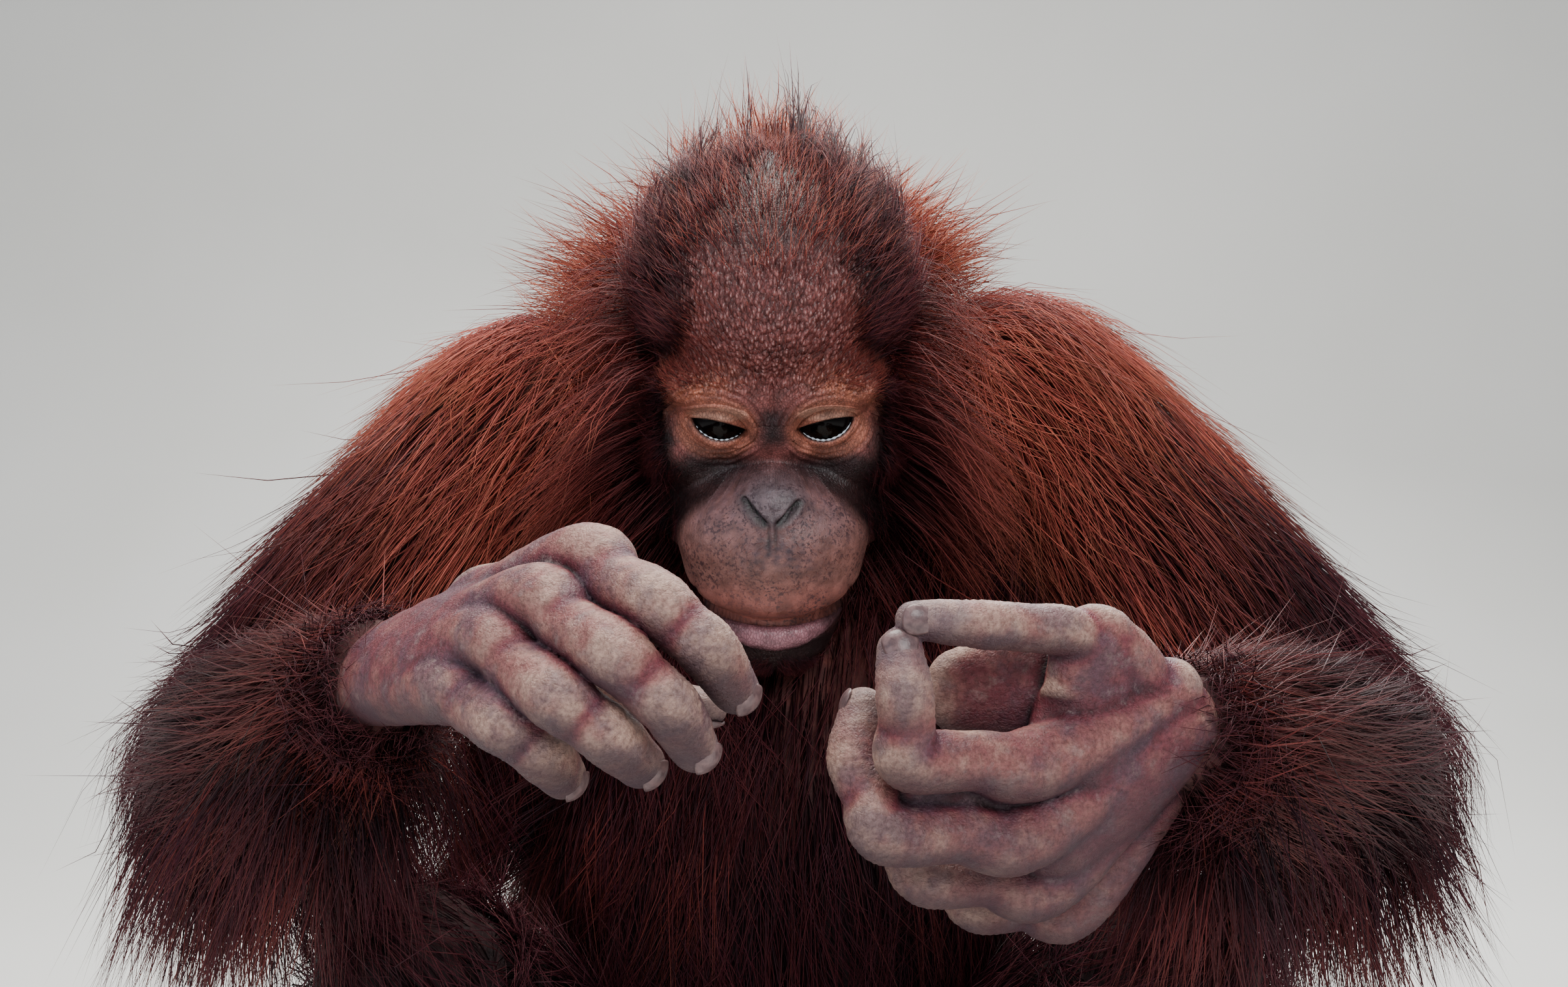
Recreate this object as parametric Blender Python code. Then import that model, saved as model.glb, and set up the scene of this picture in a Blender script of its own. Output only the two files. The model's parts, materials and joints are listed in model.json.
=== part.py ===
"""A seated young orangutan, life size, head bent over its two raised hands.

Metres, +Z up. The animal faces -Y, its left side is +X, and the floor is z = 0. The origin is on
the floor under the seat bones.
"""

import math

import bmesh
import bpy
import numpy as np
from mathutils import Matrix, Vector
from mathutils.bvhtree import BVHTree

# Gap that neighbouring nodes keep.
GAP = 0.0003

# Head place: the point midway between the eyes, and how far the face is bent down.
EYE_LINE = Vector((0.0, -0.078, 0.429))
HEAD_PITCH = math.radians(35.0)
HEAD_FRAME = Matrix.Translation(EYE_LINE) @ Matrix.Rotation(HEAD_PITCH, 4, "X")

# Head sizes in the head's own frame: x to its left, y back into the head, z up, from the eye line.
HEAD_HUB = (0.0, 0.030, -0.014)
EYE_SPACING = 0.0464
EYE_RADIUS = 0.0108
EYE_DEPTH = 0.0105
EYE_DROP = -0.0038
# Lids, in degrees seen from the eyeball: corners, their slant, how far each opens, and its far rim.
LID_CORNERS = (-62.0, 66.0)
LID_SLANT = (-12.0, 19.0)
LID_OPEN = (32.0, -21.0)
LID_RIM = 74.0
LID_STEPS = 8
LID_THICK = 0.0019
# Places on the face by x and z: the line of the mouth, the lower lip, and one nostril with its depth.
MOUTH_LINE = [(-0.035, -0.074), (-0.022, -0.0795), (0.0, -0.0815), (0.022, -0.0795), (0.035, -0.074)]
MOUTH_HALF = (0.0010, 0.0014, 0.0016, 0.0014, 0.0010)
LOWER_LIP = [(-0.028, -0.0825), (-0.015, -0.0855), (0.0, -0.0870), (0.015, -0.0855), (0.028, -0.0825)]
LIP_HALF = (0.0020, 0.0034, 0.0040, 0.0034, 0.0020)
NOSTRIL = [(0.0108, -0.0225, 0.0006), (0.0078, -0.0260, 0.0006), (0.0034, -0.0290, 0.0006)]
NOSTRIL_HALF = (0.0012, 0.0022, 0.0014)
# Rounded masses of the bare head: centre, then half sizes.
HEAD_MASSES = [
    ((0.000, 0.064, 0.034), (0.057, 0.066, 0.058)),
    ((0.000, 0.030, -0.002), (0.049, 0.034, 0.033)),
    ((0.022, 0.010, 0.015), (0.025, 0.013, 0.011)),
    ((-0.022, 0.010, 0.015), (0.025, 0.013, 0.011)),
    ((0.036, 0.026, -0.022), (0.018, 0.024, 0.020)),
    ((-0.036, 0.026, -0.022), (0.018, 0.024, 0.020)),
    ((0.000, -0.004, -0.051), (0.043, 0.037, 0.028)),
    ((0.000, -0.013, -0.029), (0.015, 0.013, 0.011)),
    ((0.000, -0.010, -0.067), (0.038, 0.033, 0.0135)),
    ((0.000, -0.009, -0.089), (0.031, 0.032, 0.011)),
    ((0.000, -0.010, -0.100), (0.028, 0.029, 0.014)),
    ((0.033, 0.040, -0.056), (0.024, 0.034, 0.034)),
    ((-0.033, 0.040, -0.056), (0.024, 0.034, 0.034)),
    ((0.000, 0.034, -0.076), (0.036, 0.038, 0.028)),
    ((0.000, 0.010, -0.092), (0.031, 0.028, 0.018)),
]
# Hollows of the eye sockets, in the same terms.
HEAD_HOLLOWS = [
    ((0.024, -0.010, -0.003), (0.018, 0.016, 0.013)),
    ((-0.024, -0.010, -0.003), (0.018, 0.016, 0.013)),
]
MASS_BLEND = 0.010
HOLLOW_BLEND = 0.005
HEAD_AROUND = 44
# Rings of the head, as angles off straight ahead: close together on the face, wide apart behind.
HEAD_RINGS = np.radians([*np.linspace(3.5, 64.0, 18), *np.linspace(64.0, 180.0, 9)[1:-1]])

# Trunk and limb stations from root to end: centre, half width, half depth and depth of the coat.
TORSO = [
    (0.000, 0.004, 0.045, 0.086, 0.074, 0.010),
    (0.000, 0.010, 0.090, 0.104, 0.090, 0.018),
    (0.000, 0.016, 0.150, 0.110, 0.100, 0.022),
    (0.000, 0.028, 0.220, 0.108, 0.098, 0.025),
    (0.000, 0.047, 0.290, 0.104, 0.082, 0.027),
    (0.000, 0.061, 0.350, 0.104, 0.066, 0.027),
    (0.000, 0.061, 0.392, 0.100, 0.058, 0.025),
    (0.000, 0.052, 0.422, 0.074, 0.046, 0.020),
]
NECK = [
    (0.000, 0.048, 0.450, 0.068, 0.042, 0.022),
    (0.000, 0.044, 0.466, 0.080, 0.048, 0.034),
    (0.000, 0.038, 0.478, 0.076, 0.034, 0.032),
]
UPPER_ARM_LEFT = [
    (0.080, 0.046, 0.438, 0.038, 0.034, 0.016),
    (0.112, 0.045, 0.450, 0.046, 0.042, 0.034),
    (0.158, 0.015, 0.412, 0.042, 0.038, 0.030),
    (0.200, -0.022, 0.360, 0.036, 0.034, 0.030),
    (0.236, -0.054, 0.310, 0.031, 0.032, 0.033),
    (0.250, -0.068, 0.290, 0.029, 0.030, 0.034),
]
UPPER_ARM_RIGHT = [
    (-0.080, 0.046, 0.428, 0.038, 0.034, 0.016),
    (-0.112, 0.045, 0.438, 0.046, 0.042, 0.034),
    (-0.150, 0.015, 0.402, 0.042, 0.038, 0.030),
    (-0.188, -0.022, 0.354, 0.036, 0.034, 0.030),
    (-0.219, -0.052, 0.306, 0.031, 0.032, 0.033),
    (-0.232, -0.065, 0.287, 0.029, 0.030, 0.034),
]
FOREARM_LEFT = [
    (0.247, -0.077, 0.292, 0.022, 0.020, 0.016),
    (0.234, -0.103, 0.294, 0.032, 0.029, 0.028),
    (0.195, -0.160, 0.303, 0.031, 0.027, 0.025),
    (0.157, -0.215, 0.314, 0.024, 0.020, 0.015),
    (0.1375, -0.243, 0.321, 0.021, 0.016, 0.007),
]
FOREARM_RIGHT = [
    (-0.230, -0.074, 0.290, 0.022, 0.020, 0.016),
    (-0.218, -0.099, 0.295, 0.032, 0.029, 0.028),
    (-0.186, -0.150, 0.309, 0.031, 0.027, 0.025),
    (-0.152, -0.203, 0.327, 0.024, 0.020, 0.015),
    (-0.134, -0.231, 0.337, 0.021, 0.016, 0.007),
]
THIGH_LEFT = [
    (0.052, 0.004, 0.082, 0.052, 0.052, 0.014),
    (0.084, -0.040, 0.106, 0.052, 0.052, 0.018),
    (0.122, -0.096, 0.158, 0.045, 0.046, 0.020),
    (0.150, -0.139, 0.200, 0.038, 0.040, 0.020),
    (0.156, -0.150, 0.212, 0.035, 0.036, 0.019),
]
THIGH_RIGHT = [
    (-0.052, 0.004, 0.082, 0.052, 0.052, 0.014),
    (-0.080, -0.040, 0.106, 0.052, 0.052, 0.018),
    (-0.112, -0.096, 0.158, 0.045, 0.046, 0.020),
    (-0.137, -0.139, 0.201, 0.038, 0.040, 0.020),
    (-0.142, -0.150, 0.213, 0.035, 0.036, 0.019),
]
SHANK_LEFT = [
    (0.156, -0.150, 0.196, 0.026, 0.026, 0.010),
    (0.154, -0.146, 0.168, 0.033, 0.036, 0.018),
    (0.146, -0.136, 0.120, 0.027, 0.030, 0.017),
    (0.139, -0.128, 0.078, 0.022, 0.025, 0.012),
    (0.137, -0.127, 0.058, 0.022, 0.025, 0.007),
]
SHANK_RIGHT = [
    (-0.142, -0.150, 0.197, 0.026, 0.026, 0.010),
    (-0.140, -0.146, 0.168, 0.033, 0.036, 0.018),
    (-0.135, -0.136, 0.120, 0.027, 0.030, 0.017),
    (-0.131, -0.128, 0.078, 0.022, 0.025, 0.012),
    (-0.130, -0.127, 0.058, 0.022, 0.025, 0.007),
]
# The coat hangs: it is deeper towards this direction, for the trunk, the arms and the legs.
TORSO_HANG = (0.0, 0.35, -0.15)
ARM_HANG = (0.0, 0.20, -0.50)
LEG_HANG = (0.0, 0.10, -0.25)
# The solid core under the locks reaches this share of the coat's depth.
CORE_SHARE = 0.45

# Depth of the hair on the crown and down the cheeks, what the crest and the sides add to it, and
# how far the ear's bare round reaches.
CROWN_HAIR = 0.032
CHEEK_HAIR = 0.010
CREST_HAIR = 0.012
SIDE_HAIR = 0.022
EAR_PLACE = (0.0525, 0.068, 0.010)
EAR_BARE = 0.022
# The ear: half width and height, how far it turns out, and its section as share of size and rise.
EAR_HALF = (0.0110, 0.0165)
EAR_TURN = 14.0
EAR_AROUND = 12
EAR_PROFILE = [
    (0.35, 0.0030),
    (0.60, 0.0040),
    (0.80, 0.0068),
    (0.92, 0.0082),
    (1.00, 0.0072),
    (0.97, 0.0056),
    (0.80, 0.0030),
    (0.62, -0.0040),
]
EAR_POLES = (0.0028, -0.0060)

# Digit joints of the hands: wrist, knuckle, two finger joints and the tip's centre.
WRIST_LEFT = (0.1325, -0.2500, 0.3225)
LEFT_DIGITS = {
    "thumb": [(0.1120, -0.2650, 0.3490), (0.0920, -0.2800, 0.3570), (0.0647, -0.2950, 0.3600), (0.0446, -0.3000, 0.3618)],
    "index": [(0.0846, -0.2800, 0.3155), (0.0429, -0.3000, 0.3195), (0.0412, -0.3050, 0.3402), (0.0400, -0.3000, 0.3520)],
    "middle": [(0.0824, -0.2750, 0.2924), (0.0360, -0.2950, 0.2963), (0.0269, -0.2850, 0.3179), (0.0300, -0.2780, 0.3319)],
    "ring": [(0.0918, -0.2550, 0.2734), (0.0504, -0.2650, 0.2766), (0.0400, -0.2540, 0.2969), (0.0440, -0.2430, 0.3105)],
    "little": [(0.1046, -0.2320, 0.2610), (0.0711, -0.2330, 0.2600), (0.0590, -0.2280, 0.2780), (0.0600, -0.2200, 0.2910)],
}
WRIST_RIGHT = (-0.1287, -0.2380, 0.3400)
RIGHT_DIGITS = {
    "thumb": [(-0.1060, -0.2480, 0.3480), (-0.0740, -0.2620, 0.3400), (-0.0430, -0.2750, 0.3350), (-0.0185, -0.2850, 0.3335)],
    "index": [(-0.0590, -0.2900, 0.3785), (-0.0326, -0.3220, 0.3684), (-0.0164, -0.3250, 0.3545), (-0.0094, -0.3100, 0.3415)],
    "middle": [(-0.0720, -0.2980, 0.3670), (-0.0436, -0.3300, 0.3541), (-0.0272, -0.3320, 0.3389), (-0.0211, -0.3160, 0.3253)],
    "ring": [(-0.0864, -0.2950, 0.3548), (-0.0603, -0.3270, 0.3416), (-0.0444, -0.3270, 0.3295), (-0.0375, -0.3080, 0.3190)],
    "little": [(-0.0983, -0.2900, 0.3403), (-0.0772, -0.3150, 0.3326), (-0.0661, -0.3120, 0.3229), (-0.0625, -0.2950, 0.3136)],
}
# Half thickness of a digit at its wrist end, knuckle, mid bone, joint, mid bone, joint and tip.
FINGER_HALF = (0.0100, 0.0108, 0.0086, 0.0090, 0.0078, 0.0078, 0.0064)
THUMB_HALF = (0.0120, 0.0100, 0.0074, 0.0072, 0.0066, 0.0066, 0.0052)
PALM_HALF = (0.0240, 0.0130)

# Foot joints, for the left foot: heel, then each toe's knuckle, middle joint and tip.
HEEL = (0.128, -0.118, 0.024)
ANKLE = (0.130, -0.127, 0.062)
FOOT_SHIFT = {"left": 0.008, "right": 0.0}
TOES = {
    "first": [(0.104, -0.160, 0.018), (0.094, -0.186, 0.015), (0.092, -0.205, 0.012)],
    "second": [(0.120, -0.205, 0.026), (0.119, -0.245, 0.028), (0.118, -0.270, 0.011)],
    "third": [(0.135, -0.207, 0.025), (0.138, -0.250, 0.028), (0.138, -0.276, 0.011)],
    "fourth": [(0.149, -0.203, 0.023), (0.156, -0.243, 0.026), (0.157, -0.269, 0.011)],
    "fifth": [(0.161, -0.195, 0.020), (0.171, -0.229, 0.022), (0.174, -0.252, 0.010)],
}
TOE_HALF = (0.0110, 0.0108, 0.0088, 0.0068)

# Colours seen in the photo, as linear red, green, blue.
COAT_RED = (0.150, 0.040, 0.022)
HEAD_BROWN = (0.110, 0.036, 0.026)
SKIN_GREY = (0.230, 0.130, 0.115)
EYE_BLACK = (0.008, 0.006, 0.006)


def clear_scene():
    for obj in list(bpy.data.objects):
        bpy.data.objects.remove(obj)


def unit(rows):
    return rows / np.linalg.norm(rows, axis=-1, keepdims=True)


def closed_mesh(name, rings, first_pole, last_pole):
    """A closed surface through equal rings of points, with a pole past each end.

    Each four-sided patch is split along the same diagonal, so a form and its grown copy keep an even gap.
    """
    count, around = rings.shape[:2]
    points = np.vstack([rings.reshape(-1, 3), [first_pole, last_pole]])
    first, last = count * around, count * around + 1
    faces = []
    for i in range(count - 1):
        for j in range(around):
            a, b = i * around + j, i * around + (j + 1) % around
            faces.append((a, b, b + around))
            faces.append((a, b + around, a + around))
    end = (count - 1) * around
    for j in range(around):
        k = (j + 1) % around
        faces.append((first, k, j))
        faces.append((last, end + j, end + k))
    mesh = bpy.data.meshes.new(name)
    mesh.from_pydata(points.tolist(), [], faces)
    work = bmesh.new()
    work.from_mesh(mesh)
    bmesh.ops.recalc_face_normals(work, faces=work.faces)
    work.to_mesh(mesh)
    work.free()
    obj = bpy.data.objects.new(name, mesh)
    bpy.context.scene.collection.objects.link(obj)
    return obj


def tube_at(shape, s, t, share, grow=0.0):
    """Places on a tube: s counts its stations, and past either end tilts over the dome; t turns round it.

    A smooth curve runs through the stations. The skin stands off it by the half sizes, the coat off
    the skin by a share of its depth, deeper on the side towards which it hangs.
    """
    stations, side, hang = shape
    side, hang = np.array(side, float), np.array(hang, float)
    rows = np.array(stations, float)
    rows = np.vstack([2 * rows[0] - rows[1], rows, 2 * rows[-1] - rows[-2]])
    last = len(stations) - 1
    inner = np.clip(s, 0, last)
    i = np.minimum(inner.astype(int), last - 1)
    f = (inner - i)[..., None]
    a, b, c, d = rows[i], rows[i + 1], rows[i + 2], rows[i + 3]
    here = 0.5 * (2 * b + (c - a) * f + (2 * a - 5 * b + 4 * c - d) * f**2 + (3 * b - a - 3 * c + d) * f**3)
    slope = (c - a) + 2 * (2 * a - 5 * b + 4 * c - d) * f + 3 * (3 * b - a - 3 * c + d) * f**2
    along = unit(slope[..., :3])
    across = unit(side - along * (along @ side)[..., None])
    deep = np.cross(along, across)
    tilt = (s - inner) * math.pi / 2
    wide = across * (np.cos(t) * np.cos(tilt))[..., None]
    thick = deep * (np.sin(t) * np.cos(tilt))[..., None]
    reach = along * np.sin(tilt)[..., None]
    out = wide + thick + reach
    skin = here[..., :3] + wide * here[..., 3:4] + thick * here[..., 4:5]
    skin = skin + reach * here[..., 3:5].mean(-1, keepdims=True)
    return skin + out * (here[..., 5] * share * (1 + out @ hang) + grow)[..., None]


def tube(name, shape, around=12, finer=1, share=0.0, grow=0.0, floor=False):
    """A closed tube with domed ends, out to a share of its coat."""
    last = len(shape[0]) - 1
    rows = [-0.50, *np.linspace(0, last, last * finer + 1), last + 0.31, last + 0.67]
    turn = np.linspace(0.0, 2 * math.pi, around, endpoint=False)
    s, t = np.meshgrid(np.array(rows), turn, indexing="ij")
    rings = tube_at(shape, s, t, share, grow)
    poles = tube_at(shape, np.array([-1.0, last + 1.0]), np.zeros(2), share, grow)
    if floor:
        rings[..., 2] = np.maximum(rings[..., 2], 0.0)
        poles[..., 2] = np.maximum(poles[..., 2], 0.0)
    return closed_mesh(name, rings, *poles)


def bare(rows, side=(1.0, 0.0, 0.0)):
    """The shape of a hairless tube, from a centre and one or two half sizes at each station."""
    return [(*row[:3], row[3], row[-1], 0.0) for row in rows], side, (0.0, 0.0, 0.0)


def largest_surface(mesh):
    """Drops every closed surface but the one that holds the most, so hollows fill and scraps go."""
    work = bmesh.new()
    work.from_mesh(mesh)
    bmesh.ops.triangulate(work, faces=work.faces)
    left = set(work.faces)
    surfaces = []
    while left:
        front = [left.pop()]
        island = list(front)
        while front:
            for edge in front.pop().edges:
                for other in edge.link_faces:
                    if other in left:
                        left.remove(other)
                        front.append(other)
                        island.append(other)
        corners = [[v.co for v in f.verts] for f in island]
        surfaces.append((sum(a.dot(b.cross(c)) for a, b, c in corners), island))
    surfaces.sort(key=lambda pair: -pair[0])
    scraps = [f for _, island in surfaces[1:] for f in island]
    bmesh.ops.delete(work, geom=scraps, context="FACES")
    work.to_mesh(mesh)
    work.free()


def boolean(obj, operation, others, solver="MANIFOLD"):
    """Joins or cuts by a collection of closed meshes, which are then removed."""
    helpers = bpy.data.collections.new("helpers")
    bpy.context.scene.collection.children.link(helpers)
    for other in others:
        bpy.context.scene.collection.objects.unlink(other)
        helpers.objects.link(other)
    step = obj.modifiers.new(operation.lower(), "BOOLEAN")
    step.operation = operation
    step.operand_type = "COLLECTION"
    step.collection = helpers
    step.solver = solver
    graph = bpy.context.evaluated_depsgraph_get()
    mesh = bpy.data.meshes.new_from_object(obj.evaluated_get(graph))
    obj.modifiers.clear()
    obj.data = mesh
    for other in others:
        bpy.data.objects.remove(other)
    bpy.data.collections.remove(helpers)
    largest_surface(obj.data)
    return obj


def smooth_least(a, b, blend):
    """The lesser of two distances, rounded off where they are about equal."""
    share = np.clip(0.5 + 0.5 * (b - a) / blend, 0.0, 1.0)
    return b * (1 - share) + a * share - blend * share * (1 - share)


def smooth_step(value, low, high):
    share = np.clip((value - low) / (high - low), 0.0, 1.0)
    return share * share * (3 - 2 * share)


def mass_distance(points, centre, half):
    """Rough distance from an ellipsoid's surface, less than zero inside it."""
    away = points - np.array(centre)
    near = np.linalg.norm(away / np.array(half), axis=-1)
    slope = np.linalg.norm(away / np.array(half) ** 2, axis=-1)
    return near * (near - 1.0) / np.maximum(slope, 1e-9)


def head_distance(points):
    """Rough distance from the bare head's skin, in the head's frame, less than zero inside it."""
    least = np.full(points.shape[:-1], 1.0)
    for centre, half in HEAD_MASSES:
        least = smooth_least(least, mass_distance(points, centre, half), MASS_BLEND)
    for centre, half in HEAD_HOLLOWS:
        least = -smooth_least(-least, mass_distance(points, centre, half), HOLLOW_BLEND)
    return least


def hair_depth(points):
    """Depth of the hair at places on the bare head: none on the face, most on the crown and nape."""
    x, y, z = points[..., 0], points[..., 1], points[..., 2]
    hairline = 0.022 + 0.27 * np.maximum(z, 0.0)
    grown = smooth_step(y, hairline, hairline + 0.024)
    long = np.maximum(smooth_step(z, -0.015, 0.035), smooth_step(y, 0.070, 0.110))
    ear = np.stack([np.abs(x), y, z], -1) - np.array(EAR_PLACE)
    clear = smooth_step(np.linalg.norm(ear, axis=-1), EAR_BARE, EAR_BARE + 0.014)
    crest = CREST_HAIR * np.exp(-((x / 0.020) ** 2)) * smooth_step(z, 0.02, 0.06)
    sides = SIDE_HAIR * smooth_step(np.abs(x), 0.025, 0.050) * smooth_step(y + z, 0.050, 0.090)
    return grown * clear * (CHEEK_HAIR + (CROWN_HAIR - CHEEK_HAIR) * long + crest + sides)


def head_at(tilt, turn, share, grow=0.0):
    """Places on the head: tilt off straight ahead, turn round it, and a share of the hair's depth."""
    ways = np.stack([np.sin(tilt) * np.cos(turn), -np.cos(tilt), np.sin(tilt) * np.sin(turn)], -1)
    hub = np.array(HEAD_HUB)
    inner, outer = np.full(tilt.shape, 0.01), np.full(tilt.shape, 0.20)
    for _ in range(24):
        middle = (inner + outer) / 2
        inside = head_distance(hub + ways * middle[..., None]) < 0
        inner, outer = np.where(inside, middle, inner), np.where(inside, outer, middle)
    skin = hub + ways * inner[..., None]
    points = skin + ways * (share * hair_depth(skin) + grow)[..., None]
    frame = np.array(HEAD_FRAME)
    return points @ frame[:3, :3].T + frame[:3, 3]


def head_form(name, share, grow=0.0):
    """The closed form of the head, out to a share of its hair."""
    turn = np.linspace(0.0, 2 * math.pi, HEAD_AROUND, endpoint=False)
    rings = head_at(*np.meshgrid(HEAD_RINGS, turn, indexing="ij"), share, grow)
    poles = head_at(np.array([0.0, math.pi]), np.zeros(2), share, grow)
    return closed_mesh(name, rings, *poles)


def in_head(x, y, z):
    """A place in the head's own frame, in the model's frame."""
    return np.array(HEAD_FRAME @ Vector((x, y, z)))


def face_point(x, z, sink=0.0):
    """The place on the bare face at this x and z of the head's frame, sunk by a little."""
    front, back = -0.09, 0.02
    for _ in range(24):
        middle = (front + back) / 2
        if head_distance(np.array([x, middle, z])) < 0:
            back = middle
        else:
            front = middle
    return in_head(x, back + sink, z)


def ball(name, centre, radius, segments=14, rings=8):
    work = bmesh.new()
    place = Matrix.Translation(Vector(centre))
    bmesh.ops.create_uvsphere(work, u_segments=segments, v_segments=rings, radius=radius, matrix=place)
    mesh = bpy.data.meshes.new(name)
    work.to_mesh(mesh)
    work.free()
    obj = bpy.data.objects.new(name, mesh)
    bpy.context.scene.collection.objects.link(obj)
    return obj


def lid(name, side, upper):
    """One eyelid: a thick patch of a ball just over the eye, from its margin into the socket."""
    across = np.radians(np.linspace(LID_CORNERS[0], LID_CORNERS[1], LID_STEPS + 1))
    t = np.linspace(0.0, 1.0, LID_STEPS + 1)
    corner = LID_SLANT[0] + (LID_SLANT[1] - LID_SLANT[0]) * t
    bow = LID_OPEN[0] if upper else LID_OPEN[1]
    margin = corner + bow * np.sin(math.pi * t) ** 0.8
    rim = LID_RIM if upper else -LID_RIM
    rings = []
    for radius, shares in ((EYE_RADIUS * 0.93, (0.0, 1.0)), (EYE_RADIUS + LID_THICK, (1.0, 0.5, 0.0))):
        for share in shares:
            up = np.radians(margin + (rim - margin) * share)
            ways = [side * np.sin(across) * np.cos(up), -np.cos(across) * np.cos(up), np.sin(up)]
            rings.append(radius * np.stack(ways, -1))
    strips = np.array(rings).transpose(1, 0, 2)
    frame = np.array(HEAD_FRAME)
    strips = (strips + eye_centre(side)) @ frame[:3, :3].T + frame[:3, 3]
    return closed_mesh(name, strips, strips[0].mean(0), strips[-1].mean(0))


def eye_centre(side):
    """The middle of an eyeball in the head's frame."""
    return np.array([side * EYE_SPACING / 2, EYE_DEPTH, EYE_DROP])


def ear(name, side):
    """A small cupped ear: a bowl with a rolled rim, whose back stands on the side of the head."""
    turn = np.linspace(0.0, 2 * math.pi, EAR_AROUND, endpoint=False)
    lobe = 1.0 - 0.16 * np.maximum(-np.sin(turn), 0.0)
    rings = []
    for share, rise in EAR_PROFILE:
        back = EAR_HALF[0] * share * np.cos(turn) * lobe
        up = EAR_HALF[1] * share * np.sin(turn)
        rings.append(np.stack([np.full_like(turn, rise), back, up], -1))
    poles = [(EAR_POLES[0], 0.0, 0.0), (EAR_POLES[1], 0.0, 0.0)]
    turned = Matrix.Rotation(math.radians(EAR_TURN), 3, "Z") @ Matrix.Rotation(math.radians(-12.0), 3, "X")
    flip = np.diag([side, 1.0, 1.0])
    frame = np.array(HEAD_FRAME)

    def place(points):
        points = (np.array(points) @ np.array(turned).T + np.array(EAR_PLACE)) @ flip
        return points @ frame[:3, :3].T + frame[:3, 3]

    return closed_mesh(name, place(rings), *place(poles))


def digit(name, start, joints, half):
    """One digit from its root to its rounded tip."""
    places = [np.array(start), *(np.array(j) for j in joints)]
    middle = [(places[1] + places[2]) / 2, (places[2] + places[3]) / 2]
    order = [places[0], places[1], middle[0], places[2], middle[1], places[3], places[4]]
    side = np.cross(places[1] - places[0], places[2] - places[1])
    return tube(name, bare([(*p, h) for p, h in zip(order, half)], side), around=7)


def hand(name, wrist, digits):
    """The palm and five digits, joined as one piece."""
    wrist = np.array(wrist)
    knuckles = [np.array(digits[which][0]) for which in ("index", "middle", "ring", "little")]
    middle = (knuckles[1] + knuckles[2]) / 2
    palm_rows = [
        (*wrist, 0.019, 0.014),
        (*(wrist + (middle - wrist) * 0.45), *PALM_HALF),
        (*(wrist + (middle - wrist) * 0.8), 0.022, 0.011),
    ]
    palm = tube(name, bare(palm_rows, knuckles[0] - knuckles[3]))
    pieces = []
    for i, (which, joints) in enumerate(digits.items()):
        half = THUMB_HALF if which == "thumb" else FINGER_HALF
        start = wrist if which == "thumb" else wrist + (knuckles[i - 1] - middle) * 0.4
        pieces.append(digit(which, start, joints, half))
    return boolean(palm, "UNION", pieces)


def foot(name, side, offset):
    """Ankle, heel, sole and five curled toes on the floor."""

    def placed(place):
        return np.array([place[0] * side + offset, place[1], place[2]])

    heel, arch = placed(HEEL), placed(TOES["third"][0])
    sole_rows = [
        (*(heel + (0.0, 0.006, 0.0)), 0.021, 0.024),
        (*(heel + (arch - heel) * 0.45 + (0.0, 0.0, 0.004)), 0.026, 0.022),
        (*(heel + (arch - heel) * 0.9), 0.029, 0.018),
    ]
    sole = tube(name, bare(sole_rows), around=10, floor=True)
    ankle_rows = [(*placed(ANKLE), 0.021, 0.023), (*(heel + (0.0, -0.008, 0.004)), 0.021, 0.024)]
    pieces = [tube("ankle", bare(ankle_rows), around=8, floor=True)]
    for which, joints in TOES.items():
        places = [heel + (placed(joints[0]) - heel) * 0.4, *(placed(j) for j in joints)]
        rows = bare([(*p, h) for p, h in zip(places, TOE_HALF)])
        pieces.append(tube(which, rows, around=6, floor=True))
    return boolean(sole, "UNION", pieces)


def groove(name, places, half):
    """A closed tube along places on the face, to cut a line or to stand as a lip."""
    rows = [(*place, size) for place, size in zip(places, half)]
    return tube(name, bare(rows, (0.0, 0.0, 1.0)), around=6, finer=2)


def paint(obj, name, colour, roughness):
    material = bpy.data.materials.new(f"{obj.name}_{name}")
    material.use_nodes = True
    shader = material.node_tree.nodes["Principled BSDF"]
    shader.inputs["Base Color"].default_value = (*colour, 1.0)
    shader.inputs["Roughness"].default_value = roughness
    obj.data.materials.clear()
    obj.data.materials.append(material)
    obj.data.shade_smooth()


ACROSS = (1.0, 0.0, 0.0)
UPWARD = (0.0, 0.0, 1.0)
# Each coated tube, with its number of sides.
TUBES = {
    "torso": ((TORSO, ACROSS, TORSO_HANG), 20),
    "neck": ((NECK, ACROSS, TORSO_HANG), 14),
    "upper_arm_left": ((UPPER_ARM_LEFT, UPWARD, ARM_HANG), 12),
    "upper_arm_right": ((UPPER_ARM_RIGHT, UPWARD, ARM_HANG), 12),
    "forearm_left": ((FOREARM_LEFT, UPWARD, ARM_HANG), 12),
    "forearm_right": ((FOREARM_RIGHT, UPWARD, ARM_HANG), 12),
    "thigh_left": ((THIGH_LEFT, ACROSS, LEG_HANG), 12),
    "thigh_right": ((THIGH_RIGHT, ACROSS, LEG_HANG), 12),
    "shank_left": ((SHANK_LEFT, ACROSS, LEG_HANG), 10),
    "shank_right": ((SHANK_RIGHT, ACROSS, LEG_HANG), 10),
}
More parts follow.
